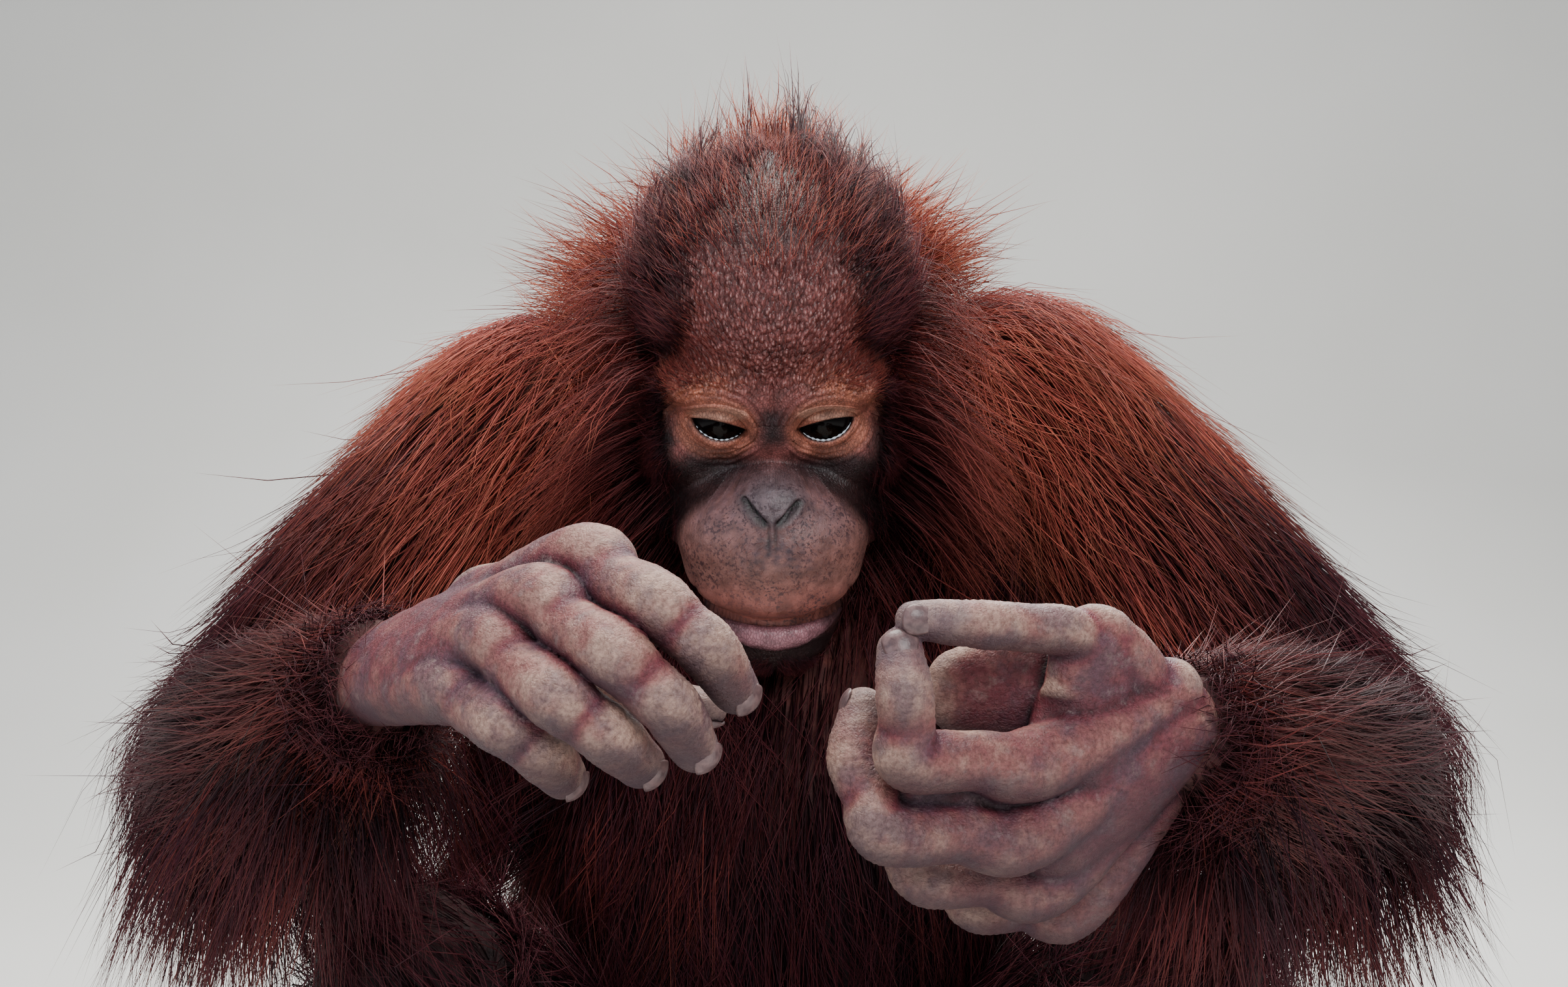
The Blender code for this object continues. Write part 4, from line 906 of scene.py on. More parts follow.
ACROSS, UPWARD = (1.0, 0.0, 0.0), (0.0, 0.0, 1.0)
TORSO_HANG, ARM_HANG, LEG_HANG = (0.0, 0.35, -0.15), (0.0, 0.20, -0.50), (0.0, 0.10, -0.25)
TUBES = {
    "torso": (TORSO, ACROSS, TORSO_HANG),
    "neck": (NECK, ACROSS, TORSO_HANG),
    "upper_arm_left": (UPPER_ARM_LEFT, UPWARD, ARM_HANG),
    "upper_arm_right": (UPPER_ARM_RIGHT, UPWARD, ARM_HANG),
    "forearm_left": (FOREARM_LEFT, UPWARD, ARM_HANG),
    "forearm_right": (FOREARM_RIGHT, UPWARD, ARM_HANG),
    "thigh_left": (THIGH_LEFT, ACROSS, LEG_HANG),
    "thigh_right": (THIGH_RIGHT, ACROSS, LEG_HANG),
    "shank_left": (SHANK_LEFT, ACROSS, LEG_HANG),
    "shank_right": (SHANK_RIGHT, ACROSS, LEG_HANG),
}


def tube_at(shape, s, t, share, grow=0.0):
    """Places on a tube: a Catmull-Rom curve through its stations, plus cos(t) and sin(t) of its half sizes.

    s counts stations and tilts over a dome past either end. The coat stands off the skin by a share
    of its depth, deeper on the side towards which it hangs.
    """
    stations, side, hang = shape
    side, hang = np.array(side, float), np.array(hang, float)
    rows = np.array(stations, float)
    rows = np.vstack([2 * rows[0] - rows[1], rows, 2 * rows[-1] - rows[-2]])
    last = len(stations) - 1
    inner = np.clip(s, 0, last)
    i = np.minimum(inner.astype(int), last - 1)
    f = (inner - i)[..., None]
    a, b, c, d = rows[i], rows[i + 1], rows[i + 2], rows[i + 3]
    here = 0.5 * (2 * b + (c - a) * f + (2 * a - 5 * b + 4 * c - d) * f**2 + (3 * b - a - 3 * c + d) * f**3)
    slope = (c - a) + 2 * (2 * a - 5 * b + 4 * c - d) * f + 3 * (3 * b - a - 3 * c + d) * f**2
    along = unit(slope[..., :3])
    across = unit(side - along * (along @ side)[..., None])
    deep = np.cross(along, across)
    tilt = (s - inner) * math.pi / 2
    wide = across * (np.cos(t) * np.cos(tilt))[..., None]
    thick = deep * (np.sin(t) * np.cos(tilt))[..., None]
    reach = along * np.sin(tilt)[..., None]
    out = wide + thick + reach
    skin = here[..., :3] + wide * here[..., 3:4] + thick * here[..., 4:5]
    skin = skin + reach * here[..., 3:5].mean(-1, keepdims=True)
    return skin + out * (here[..., 5] * share * (1 + out @ hang) + grow)[..., None]


def tube(name, shape, around, per_span):
    """A closed tube with domed ends."""
    last = len(shape[0]) - 1
    dome = np.array([0.25, 0.5, 0.75, 0.92])
    rows = np.concatenate([-dome[::-1], np.linspace(0, last, last * per_span + 1), last + dome])
    turn = np.linspace(0.0, 2 * math.pi, around, endpoint=False)
    rings = tube_at(shape, *np.meshgrid(rows, turn, indexing="ij"), 0.0)
    rings[..., 2] = np.maximum(rings[..., 2], 0.0015)
    poles = tube_at(shape, np.array([-1.0, last + 1.0]), np.zeros(2), 0.0)
    poles[:, 2] = np.maximum(poles[:, 2], 0.0015)
    return closed_grid(name, rings, poles)


def fuse(name, pieces, voxel, smoothing):
    """Joins closed pieces into one skin: a remesh on small cubes, then a few rounds of smoothing."""
    for other in pieces[1:]:
        mesh = other.data
        work = bmesh.new()
        work.from_mesh(pieces[0].data)
        work.from_mesh(mesh)
        work.to_mesh(pieces[0].data)
        work.free()
        bpy.data.objects.remove(other)
    joined = pieces[0]
    joined.name = name
    step = joined.modifiers.new("remesh", "REMESH")
    step.mode = "VOXEL"
    step.voxel_size = voxel
    soften = joined.modifiers.new("soften", "SMOOTH")
    soften.iterations = smoothing
    soften.factor = 0.5
    graph = bpy.context.evaluated_depsgraph_get()
    mesh = bpy.data.meshes.new_from_object(joined.evaluated_get(graph))
    joined.modifiers.clear()
    joined.data = mesh
    mesh.shade_smooth()
    return joined


# %% One skin for the trunk and limbs
body_piece = fuse("body_skin", [tube(name, shape, 40, 8) for name, shape in TUBES.items()], 0.0045, 4)
print("body skin:", len(body_piece.data.polygons), "faces")


def painted_sun_glow(points):
    """How much painted sunlight lies on the coat, red where it falls: 1 on the shoulders and near the head, 0 below."""
    wider_behind = 0.06 * smooth_step(points[..., 1], 0.02, 0.10)
    near = 1 - smooth_step(np.abs(points[..., 0]) - wider_behind, 0.075, 0.215)
    return np.maximum(near, smooth_step(points[..., 2], 0.41, 0.48)) * smooth_step(points[..., 2], 0.20, 0.33)


give(body_piece, "painted_sun_glow", painted_sun_glow(points_of(body_piece)))
under_coat, tree, shader = new_material("dark skin and down under the coat, matt", Roughness=0.8)
place = add_node(tree, PLACE, "Object")
lit_share = add_node(tree, READ, "Fac", attribute_name="painted_sun_glow")
grain = add_node(tree, NOISE, Vector=place, Scale=1000 / 7.0, Detail=4.0, Roughness=0.55)
# Painted light: the skin and down are near black, and red where the painted sunlight falls.
down = add_node(tree, MIX, Fac=lit_share, Color1=add_node(tree, RAMP, Fac=grain, stops=[(0.3, "#14080c"), (0.7, "#2a1218")]), Color2=add_node(tree, RAMP, Fac=grain, stops=[(0.3, "#3a1616"), (0.7, "#66302a")]))
tree.links.new(down, shader.inputs["Base Color"])
tree.links.new(add_node(tree, BUMP, Height=add_node(tree, NOISE, Vector=place, Scale=1000 / 3.0, Detail=3.0, Roughness=0.55), Distance=1.0 / 1000), shader.inputs["Normal"])
finish_with(body_piece, under_coat)
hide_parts(*TUBES)

# %% [markdown]
# ## Hands and feet
# An orangutan's hand is a long hook: a narrow palm, four long fingers with thick joint pads and a short
# thumb. The skin is bare, loose over the joints and finely lined. Each digit is a tube through its
# joints, the palm a flatter one. Fused on small cubes and smoothed, they become one skin with webs.
# Then creases are pressed in across each joint.

# %% Joints of the hands and feet
WRIST_LEFT = (0.1325, -0.2500, 0.3225)
LEFT_DIGITS = {
    "thumb": [(0.1120, -0.2650, 0.3490), (0.0920, -0.2800, 0.3570), (0.0647, -0.2950, 0.3600), (0.0446, -0.3000, 0.3618)],
    "index": [(0.0846, -0.2800, 0.3155), (0.0429, -0.3000, 0.3195), (0.0412, -0.3050, 0.3402), (0.0400, -0.3000, 0.3520)],
    "middle": [(0.0824, -0.2750, 0.2924), (0.0360, -0.2950, 0.2963), (0.0269, -0.2850, 0.3179), (0.0300, -0.2780, 0.3319)],
    "ring": [(0.0918, -0.2550, 0.2734), (0.0504, -0.2650, 0.2766), (0.0400, -0.2540, 0.2969), (0.0440, -0.2430, 0.3105)],
    "little": [(0.1046, -0.2320, 0.2610), (0.0711, -0.2330, 0.2600), (0.0590, -0.2280, 0.2780), (0.0600, -0.2200, 0.2910)],
}
WRIST_RIGHT = (-0.1287, -0.2380, 0.3400)
RIGHT_DIGITS = {
    "thumb": [(-0.1060, -0.2480, 0.3480), (-0.0740, -0.2620, 0.3400), (-0.0430, -0.2750, 0.3350), (-0.0185, -0.2850, 0.3335)],
    "index": [(-0.0590, -0.2900, 0.3785), (-0.0326, -0.3220, 0.3684), (-0.0164, -0.3250, 0.3545), (-0.0094, -0.3100, 0.3415)],
    "middle": [(-0.0720, -0.2980, 0.3670), (-0.0436, -0.3300, 0.3541), (-0.0272, -0.3320, 0.3389), (-0.0211, -0.3160, 0.3253)],
    "ring": [(-0.0864, -0.2950, 0.3548), (-0.0603, -0.3270, 0.3416), (-0.0444, -0.3270, 0.3295), (-0.0375, -0.3080, 0.3190)],
    "little": [(-0.0983, -0.2900, 0.3403), (-0.0772, -0.3150, 0.3326), (-0.0661, -0.3120, 0.3229), (-0.0625, -0.2950, 0.3136)],
}
FINGER_HALF = (0.0100, 0.0108, 0.0086, 0.0090, 0.0078, 0.0078, 0.0064)
THUMB_HALF = (0.0120, 0.0100, 0.0074, 0.0072, 0.0066, 0.0066, 0.0052)
HEEL, ANKLE = (0.128, -0.118, 0.024), (0.130, -0.127, 0.062)
FOOT_SHIFT = {"left": 0.008, "right": 0.0}
TOES = {
    "first": [(0.104, -0.160, 0.018), (0.094, -0.186, 0.015), (0.092, -0.205, 0.012)],
    "second": [(0.120, -0.205, 0.026), (0.119, -0.245, 0.028), (0.118, -0.270, 0.011)],
    "third": [(0.135, -0.207, 0.025), (0.138, -0.250, 0.028), (0.138, -0.276, 0.011)],
    "fourth": [(0.149, -0.203, 0.023), (0.156, -0.243, 0.026), (0.157, -0.269, 0.011)],
    "fifth": [(0.161, -0.195, 0.020), (0.171, -0.229, 0.022), (0.174, -0.252, 0.010)],
}
TOE_HALF = (0.0110, 0.0108, 0.0088, 0.0068)


def bare(rows, side=(1.0, 0.0, 0.0)):
    """The shape of a hairless tube, from a centre and one or two half sizes at each station."""
    return [(*row[:3], row[3], row[-1], 0.0) for row in rows], side, (0.0, 0.0, 0.0)


def segment_distance(points, a, b):
    """Distance of points from a straight line between a and b, and the share along it."""
    way = b - a
    share = np.clip((points - a) @ way / (way @ way), 0, 1)
    return np.linalg.norm(points - a - share[:, None] * way, axis=1), share


def hollow_share(piece, rounds):
    """0 on ridges, 0.5 on flats and 1 in hollows: the way from each point to the mean of its neighbours.

    The way's part along the normal is averaged over neighbours some rounds, then spread to 0 to 1.
    """
    edges = np.empty(len(piece.data.edges) * 2, np.int64)
    piece.data.edges.foreach_get("vertices", edges)
    a, b = edges.reshape(-1, 2).T
    points, normals = points_of(piece), normals_of(piece)
    count = np.bincount(a, minlength=len(points)) + np.bincount(b, minlength=len(points))

    def neighbours(values):
        total = np.zeros_like(values)
        np.add.at(total, a, values[b])
        np.add.at(total, b, values[a])
        return total / (count if values.ndim == 1 else count[:, None])

    spread = points
    for _ in range(rounds):
        spread = (spread + neighbours(spread)) / 2
    sink = ((spread - points) * normals).sum(1)
    return np.clip(0.5 + sink / 0.0022, 0, 1)


def limb_end(name, palm, digits, voxel, extra=()):
    """Fuses a palm or sole with its digits, then presses three creases across each joint."""
    pieces = [palm, *extra]
    for which, (places, half) in digits.items():
        side = np.cross(places[1] - places[0], places[-1] - places[-2])
        rows = [(*p, h) for p, h in zip(places, half)]
        pieces.append(tube(which, bare(rows, side if np.linalg.norm(side) > 1e-9 else ACROSS), 24, 8))
    piece = fuse(name, pieces, voxel, 6)
    give(piece, "hollow", hollow_share(piece, 26))
    points, normals = points_of(piece), normals_of(piece)
    press = np.zeros(len(points))
    tip_dark = np.zeros(len(points))
    least = np.full(len(points), 1.0)
    for places, half in digits.values():
        joint_at = [places[1], places[3], places[5]] if len(places) == 7 else [places[1], places[2]]
        chain = np.vstack(places)
        for a, b in zip(chain[:-1], chain[1:]):
            away, share = segment_distance(points, a, b)
            least = np.minimum(least, away)
        for joint in joint_at:
            k = np.argmin(np.linalg.norm(chain - joint, axis=1))
            along = unit(chain[min(k + 1, len(chain) - 1)] - chain[k - 1])
            rel = points - joint
            step = rel @ along * 1000
            near = bell(np.linalg.norm(rel, axis=1), 0.015)
            press += near * (0.50 * np.cos(2 * math.pi * step / 2.3 + 0.5 * np.sin(step)) + 0.15)
        tip_dark += bell(np.linalg.norm(points - chain[-1], axis=1), 0.013)
    knobs = 0.00018 * np.sin(points[:, 0] * 410 + 2 * np.sin(points[:, 2] * 330)) * np.sin(points[:, 2] * 370 + points[:, 1] * 290)
    move_points(piece, points + normals * (0.0010 + press * 0.00042 + knobs)[:, None])
    give(piece, "crease", np.clip(0.5 - 0.5 * press, 0, 1))
    give(piece, "tip", np.clip(tip_dark, 0, 1))
    # Painted shade: under is 1 where the skin faces down and away, and at least 0.6 on low parts, the left hand's lower
    # fingers and the feet.
    low = 0.6 * (1 - smooth_step(points[:, 2], 0.285, 0.312))
    give(piece, "under", np.maximum(smooth_step(-normals[:, 2] - 0.25 * normals[:, 1], 0.10, 0.85), low))
    return piece


def hand(name, wrist, joints, inner):
    wrist = np.array(wrist)
    knuckles = [np.array(joints[which][0]) for which in ("index", "middle", "ring", "little")]
    middle = (knuckles[1] + knuckles[2]) / 2
    palm_rows = [
        (*wrist, 0.019, 0.014),
        (*(wrist + (middle - wrist) * 0.45), 0.0240, 0.0130),
        (*(wrist + (middle - wrist) * 0.8), 0.022, 0.011),
    ]
    digits = {}
    for i, (which, places) in enumerate(joints.items()):
        start = wrist if which == "thumb" else wrist + (knuckles[i - 1] - middle) * 0.4
        p = [start, *(np.array(j) for j in places)]
        order = [p[0], p[1], (p[1] + p[2]) / 2, p[2], (p[2] + p[3]) / 2, p[3], p[4]]
        digits[which] = order, THUMB_HALF if which == "thumb" else FINGER_HALF
    palm = tube("palm", bare(palm_rows, knuckles[0] - knuckles[3]), 32, 10)
    # The web of loose skin between the thumb and the forefinger.
    thumb, index = np.array(joints["thumb"]), knuckles[0]
    low = index + (wrist - index) * 0.25
    web_rows = [(*(thumb[0] * 0.6 + thumb[1] * 0.4), 0.0150, 0.0085), (*((thumb[0] + low) / 2), 0.0185, 0.0080), (*low, 0.0150, 0.0085)]
    web = tube("web", bare(web_rows, unit(middle - wrist)), 24, 8)
    pads = [tube("pad", bare(rows, (0.0, 0.0, 1.0)), 24, 8) for rows in inner]
    return limb_end(name, palm, digits, 0.0012, [web, *pads]), digits


def foot(name, side, offset):
    def placed(place):
        return np.array([place[0] * side + offset, place[1], place[2]])

    heel, arch = placed(HEEL), placed(TOES["third"][0])
    sole_rows = [
        (*(heel + (0.0, 0.006, 0.0)), 0.021, 0.024),
        (*(heel + (arch - heel) * 0.45 + (0.0, 0.0, 0.004)), 0.026, 0.022),
        (*(heel + (arch - heel) * 0.9), 0.029, 0.018),
    ]
    digits = {}
    for which, places in TOES.items():
        p = [heel + (placed(places[0]) - heel) * 0.4, *(placed(j) for j in places)]
        digits[which] = p, TOE_HALF
    digits["ankle"] = [placed(ANKLE), heel + (0.0, -0.008, 0.004)], (0.021, 0.021)
    sole = tube("sole", bare(sole_rows), 32, 10)
    toes = {k: v for k, v in digits.items() if k != "ankle"}
    ankle_rows = [(*placed(ANKLE), 0.021, 0.023), (*(heel + (0.0, -0.008, 0.004)), 0.021, 0.024)]
    sole = fuse("sole", [sole, tube("ankle", bare(ankle_rows), 28, 10)], 0.003, 1)
    return limb_end(name, sole, toes, 0.0021), toes


hand_pieces = {}
digit_places = {}
# The left hand's loose palm skin, seen between thumb and forefinger, and the flesh between two fingers.
PALM_FOLD = [(0.1040, -0.2600, 0.3370, 0.0170, 0.0080), (0.0820, -0.2630, 0.3380, 0.0175, 0.0070), (0.0600, -0.2660, 0.3360, 0.0130, 0.0050)]
FINGER_FLESH = [(0.0860, -0.2700, 0.3040, 0.0075, 0.0070), (0.0650, -0.2780, 0.3060, 0.0080, 0.0070), (0.0440, -0.2860, 0.3080, 0.0080, 0.0070)]
for word, wrist, joints, inner in (("left", WRIST_LEFT, LEFT_DIGITS, [PALM_FOLD, FINGER_FLESH]), ("right", WRIST_RIGHT, RIGHT_DIGITS, [])):
    hand_pieces[word], digit_places[f"hand_{word}"] = hand(f"hand_skin_{word}", wrist, joints, inner)
foot_pieces = {}
for word, side in (("left", 1), ("right", -1)):
    foot_pieces[word], digit_places[f"foot_{word}"] = foot(f"foot_skin_{word}", side, FOOT_SHIFT[word])
print("hands and feet:", [len(p.data.polygons) for p in (*hand_pieces.values(), *foot_pieces.values())])


# %% [markdown]
# Nails are short curved plates of dark horn on the back of each tip. A plate is a small grid bent
# round the digit, thickened a little.

# %% Nails
def nail(name, tip, before, back, half, base):
    """A plate over the tip's back: a patch of a tube, 80 degrees wide, that rounds off at its end."""
    along = unit(tip - before)
    up = unit(back - along * (back @ along))
    across = np.cross(along, up)
    u, v = np.meshgrid(np.linspace(-1, 1, 15), np.linspace(0, 1, 15), indexing="ij")
    angle = np.radians(46) * u * np.sqrt(np.clip(1 - 0.6 * (2 * v - 1) ** 4 * (v > 0.5), 0, 1)) * (1 - 0.35 * (1 - v) ** 3)
    rise = half * 1.10 + 0.0009 - 0.0010 * (1 - v) ** 2 - 0.0012 * v**5
    start = tip - along * 0.0040
    places = start + along * (0.0094 * v * (1 - 0.10 * u**2))[..., None]
    places = places + rise[..., None] * (np.cos(angle)[..., None] * up * (1 - 0.16 * v**3)[..., None] + np.sin(angle)[..., None] * across)
    piece = new_piece(name, places, grid_faces(15, 15, False))
    solid = piece.modifiers.new("thickness", "SOLIDIFY")
    solid.thickness = 0.0007
    solid.offset = 0.0
    piece["base"] = base
    return piece


horn, tree, shader = new_material("dark nail horn, worn", Roughness=0.35, IOR=1.54)
place = add_node(tree, PLACE, "Object")
streak = add_node(tree, RAMP, Fac=add_node(tree, NOISE, Vector=place, Scale=1000 / 2.5, Detail=4.0, Roughness=0.55), stops=[(0.3, "#4a363a"), (0.7, "#7c6262")])
tree.links.new(streak, shader.inputs["Base Color"])
tree.links.new(add_node(tree, BUMP, Height=add_node(tree, NOISE, Vector=place, Scale=1000 / 1.2, Detail=3.0, Roughness=0.55), Distance=0.12 / 1000), shader.inputs["Normal"])
nail_pieces = []
for where, digits in digit_places.items():
    centre = np.mean([d[0][0] for d in digits.values()], axis=0)
    for which, (places, half) in digits.items():
        tip, before = np.array(places[-1]), np.array(places[-2])
        earlier = np.array(places[-3])
        # The back of a curled digit is the outer side of its bend.
        bend = unit(before - (tip + earlier) / 2)
        made = nail(f"nail_{where}_{which}", tip, before, bend, half[-1], 0.0)
        finish_with(made, horn)
        nail_pieces.append(made)


# %% Hand and foot skin
def bare_skin_material(name):
    """Dry, dusty ape skin: pale worn ridges, red pink hollows, violet grey blotches and fine creases, with painted
    shade in the deepest hollows, along the joint creases, on downward faces and on low parts.
    """
    made, tree, shader = new_material(name, IOR=1.42)
    place = add_node(tree, PLACE, "Object")
    crease, hollow, tip, under = (add_node(tree, READ, "Fac", attribute_name=key) for key in ("crease", "hollow", "tip", "under"))
    wobble = add_node(tree, MATHS, operation="MULTIPLY_ADD", i0=add_node(tree, NOISE, Vector=place, Scale=1000 / 9.0, Detail=4.0, Roughness=0.6), i1=0.36, i2=-0.18)
    # Pale worn ridges and red pink hollows are the skin's own colour; the near black in the deepest hollows is painted
    # shade.
    depth = add_node(tree, MATHS, operation="ADD", i0=hollow, i1=wobble)
    colour = add_node(tree, RAMP, Fac=depth, stops=[(0.22, "#b69486"), (0.35, "#925e5a"), (0.46, "#783a42"), (0.62, "#5c2630"), (0.84, "#2a1118")])
    blotch = add_node(tree, RAMP, Fac=add_node(tree, NOISE, Vector=place, Scale=1000 / 14.0, Detail=5.0, Roughness=0.6), stops=[(0.46, "#000000"), (0.60, "#ffffff")])
    colour = add_node(tree, MIX, Fac=add_node(tree, MATHS, operation="MULTIPLY", i0=blotch, i1=0.62), Color1=colour, Color2=linear("#584352"))
    grain = add_node(tree, RAMP, Fac=add_node(tree, NOISE, Vector=place, Scale=1000 / 1.6, Detail=5.0, Roughness=0.7), stops=[(0.34, "#a99c9e"), (0.60, "#ffffff")])
    colour = add_node(tree, MIX, Fac=0.8, Color1=colour, Color2=grain, blend_type="MULTIPLY")
    colour = add_node(tree, MIX, Fac=add_node(tree, MATHS, operation="MULTIPLY", i0=tip, i1=0.5), Color1=colour, Color2=linear("#64565f"))
    # Painted shade: the joint creases are painted darker.
    lines = add_node(tree, RAMP, Fac=crease, stops=[(0.50, "#000000"), (0.85, "#ffffff")])
    colour = add_node(tree, MIX, Fac=add_node(tree, MATHS, operation="MULTIPLY", i0=lines, i1=0.42), Color1=colour, Color2=linear("#4a2a2e"))
    dust = add_node(tree, RAMP, Fac=add_node(tree, NOISE, Vector=place, Scale=1000 / 7.0, Detail=6.0, Roughness=0.75), stops=[(0.56, "#000000"), (0.68, "#ffffff")])
    colour = add_node(tree, MIX, Fac=add_node(tree, MATHS, operation="MULTIPLY", i0=dust, i1=0.22), Color1=colour, Color2=linear("#c4aca0"))
    # Painted shade: darker where the skin faces down and on the low parts.
    colour = add_node(tree, MIX, Fac=add_node(tree, MATHS, operation="MULTIPLY", i0=under, i1=0.80), Color1=colour, Color2=linear("#35212c"))
    tree.links.new(colour, shader.inputs["Base Color"])
    stretched = add_node(tree, STRETCH, operation="MULTIPLY", i0=place, i1=(1.0, 1.0, 1.6))
    low = add_node(tree, BUMP, Height=add_node(tree, NOISE, Vector=place, Scale=1000 / 4.0, Detail=5.0, Roughness=0.65), Distance=0.5 / 1000)
    wrinkle = add_node(tree, BUMP, Height=add_node(tree, NOISE, Vector=stretched, Scale=1000 / 2.2, Detail=4.0, Roughness=0.65, Distortion=1.2), Distance=0.55 / 1000, Normal=low)
    net = add_node(tree, MATHS, operation="MINIMUM", i0=add_node(tree, MATHS, operation="MULTIPLY", i0=add_node(tree, CELLS, "Distance", feature="DISTANCE_TO_EDGE", Vector=place, Scale=1000 / 1.3), i1=4.0), i1=1.0)
    tree.links.new(add_node(tree, BUMP, Height=net, Distance=0.10 / 1000, Normal=wrinkle), shader.inputs["Normal"])
    dull = add_node(tree, MATHS, operation="ADD", i0=add_node(tree, MATHS, operation="MULTIPLY", i0=add_node(tree, NOISE, Vector=place, Scale=1000 / 5.0, Detail=3.0, Roughness=0.55), i1=0.25), i1=0.38)
    tree.links.new(dull, shader.inputs["Roughness"])
    shader.inputs["Subsurface Weight"].default_value = 0.06
    shader.inputs["Subsurface Radius"].default_value = (0.004, 0.0015, 0.001)
    return made


hand_skin = bare_skin_material("ape hand skin, dry and lined")
for word in ("left", "right"):
    finish_with(hand_pieces[word], hand_skin)
    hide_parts(f"hand_{word}")
    finish_with(foot_pieces[word], hand_skin)
    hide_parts(f"foot_{word}")


# %% [markdown]
# The ears are small, thin and set close to the head, half lost in the hair. A cup with a rolled rim
# is one profile carried round an oval.

# %% Ears
EAR_HALF, EAR_TURN = (0.0110, 0.0165), 14.0
EAR_PROFILE = [(0.20, 0.0024), (0.35, 0.0030), (0.50, 0.0032), (0.62, 0.0042), (0.74, 0.0056), (0.82, 0.0070), (0.90, 0.0081), (0.96, 0.0081), (1.00, 0.0072), (1.00, 0.0062), (0.96, 0.0052), (0.86, 0.0038), (0.76, 0.0018), (0.66, -0.0020), (0.60, -0.0045)]


def ear(side):
    """Rings that run in along the cup, over the rolled rim and down the back."""
    turn = np.linspace(0.0, 2 * math.pi, 72, endpoint=False)
    lobe = 1.0 - 0.16 * np.maximum(-np.sin(turn), 0.0)
    wave = 1 + 0.03 * np.sin(3 * turn + 0.6)
    rings = []
    for share, rise in EAR_PROFILE:
        ridge = 0.0012 * bell(share - 0.62, 0.12) * np.sin(turn + 0.5)
        back = EAR_HALF[0] * share * np.cos(turn) * lobe * wave
        up = EAR_HALF[1] * share * np.sin(turn) * wave
        rings.append(np.stack([np.full_like(turn, rise) + ridge, back, up], -1))
    poles = np.array([(0.0020, 0.0, 0.0), (-0.0060, 0.0, 0.0)])
    turned = np.array(Matrix.Rotation(math.radians(EAR_TURN), 3, "Z") @ Matrix.Rotation(math.radians(-12.0), 3, "X"))
    flip = np.diag([side, 1.0, 1.0])
    place = lambda points: to_world((points @ turned.T + EAR_PLACE) @ flip)
    piece = closed_grid(f"ear_skin_{'left' if side > 0 else 'right'}", place(np.array(rings)), place(poles))
    count = len(piece.data.vertices)
    give(piece, "skin_colour", np.tile(CHEEK_DARK * 1.6, (count, 1)))
    for key in ("muzzle", "wet", "pebble"):
        give(piece, key, np.zeros(count))
    give(piece, "front", np.ones(count))
    return piece


for word, side in (("left", 1), ("right", -1)):
    made = ear(side)
    finish_with(made, face_skin)
    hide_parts(f"ear_{word}")


# %% [markdown]
# ## The coat
# An orangutan's coat is long, coarse and sparse, and it hangs in separate wisps. Particle hair would be
# the usual tool, but this coat has to be plain mesh, so every tuft is a closed three-sided spike. Its
# middle line runs in the form's own two directions, along and round, while its height over the skin
# grows from nothing to the depth of the coat. Tufts of one wisp start side by side and draw together
# towards the tip, which gives the parted, shaggy look.

# %% Tuft shape
LONG, SHORT = np.array([0.0, 0.34, 0.70, 1.0]), np.array([0.0, 0.48, 1.0])
box_low, box_high = np.array(packed_bounds)
SPARE = 0.015 * (box_high - box_low) + 0.005
ROOM_LOW, ROOM_HIGH = box_low - SPARE, box_high + SPARE


def tuft_faces(rows):
    """Corner numbers of a closed three-sided spike with so many rows of three points and a tip."""
    faces = [[3 * r + k, 3 * r + (k + 1) % 3, 3 * r + 3 + (k + 1) % 3, 3 * r + 3 + k] for r in range(rows - 1) for k in range(3)]
    return faces + [[3 * rows - 3 + k, 3 * rows - 3 + (k + 1) % 3, 3 * rows] for k in range(3)] + [[2, 1, 0]]


def tuft_rings(middle, out, half_width, levels):
    """Three points round each level but the last, twice as wide as high, and one at the tip.

    The breadth at a share u of the length is 1 - u^3 - 0.3 (1 - u)^3: a little narrower at the root.
    """
    along = unit(np.gradient(middle, axis=1))
    wide = unit(np.cross(along, out))
    high = np.cross(along, wide)
    angle = np.array([0.0, 2.0, 4.0]) * math.pi / 3 + math.pi / 6
    rows = len(levels) - 1
    size = (half_width[:, None] * (1 - levels**3 - 0.3 * (1 - levels) ** 3))[:, :rows, None, None]
    ring = wide[:, :rows, None] * np.cos(angle)[:, None] + high[:, :rows, None] * (0.55 * np.sin(angle))[:, None]
    rings = middle[:, :rows, None] + ring * size
    return np.concatenate([rings.reshape(len(middle), 3 * rows, 3), middle[:, rows:]], 1)


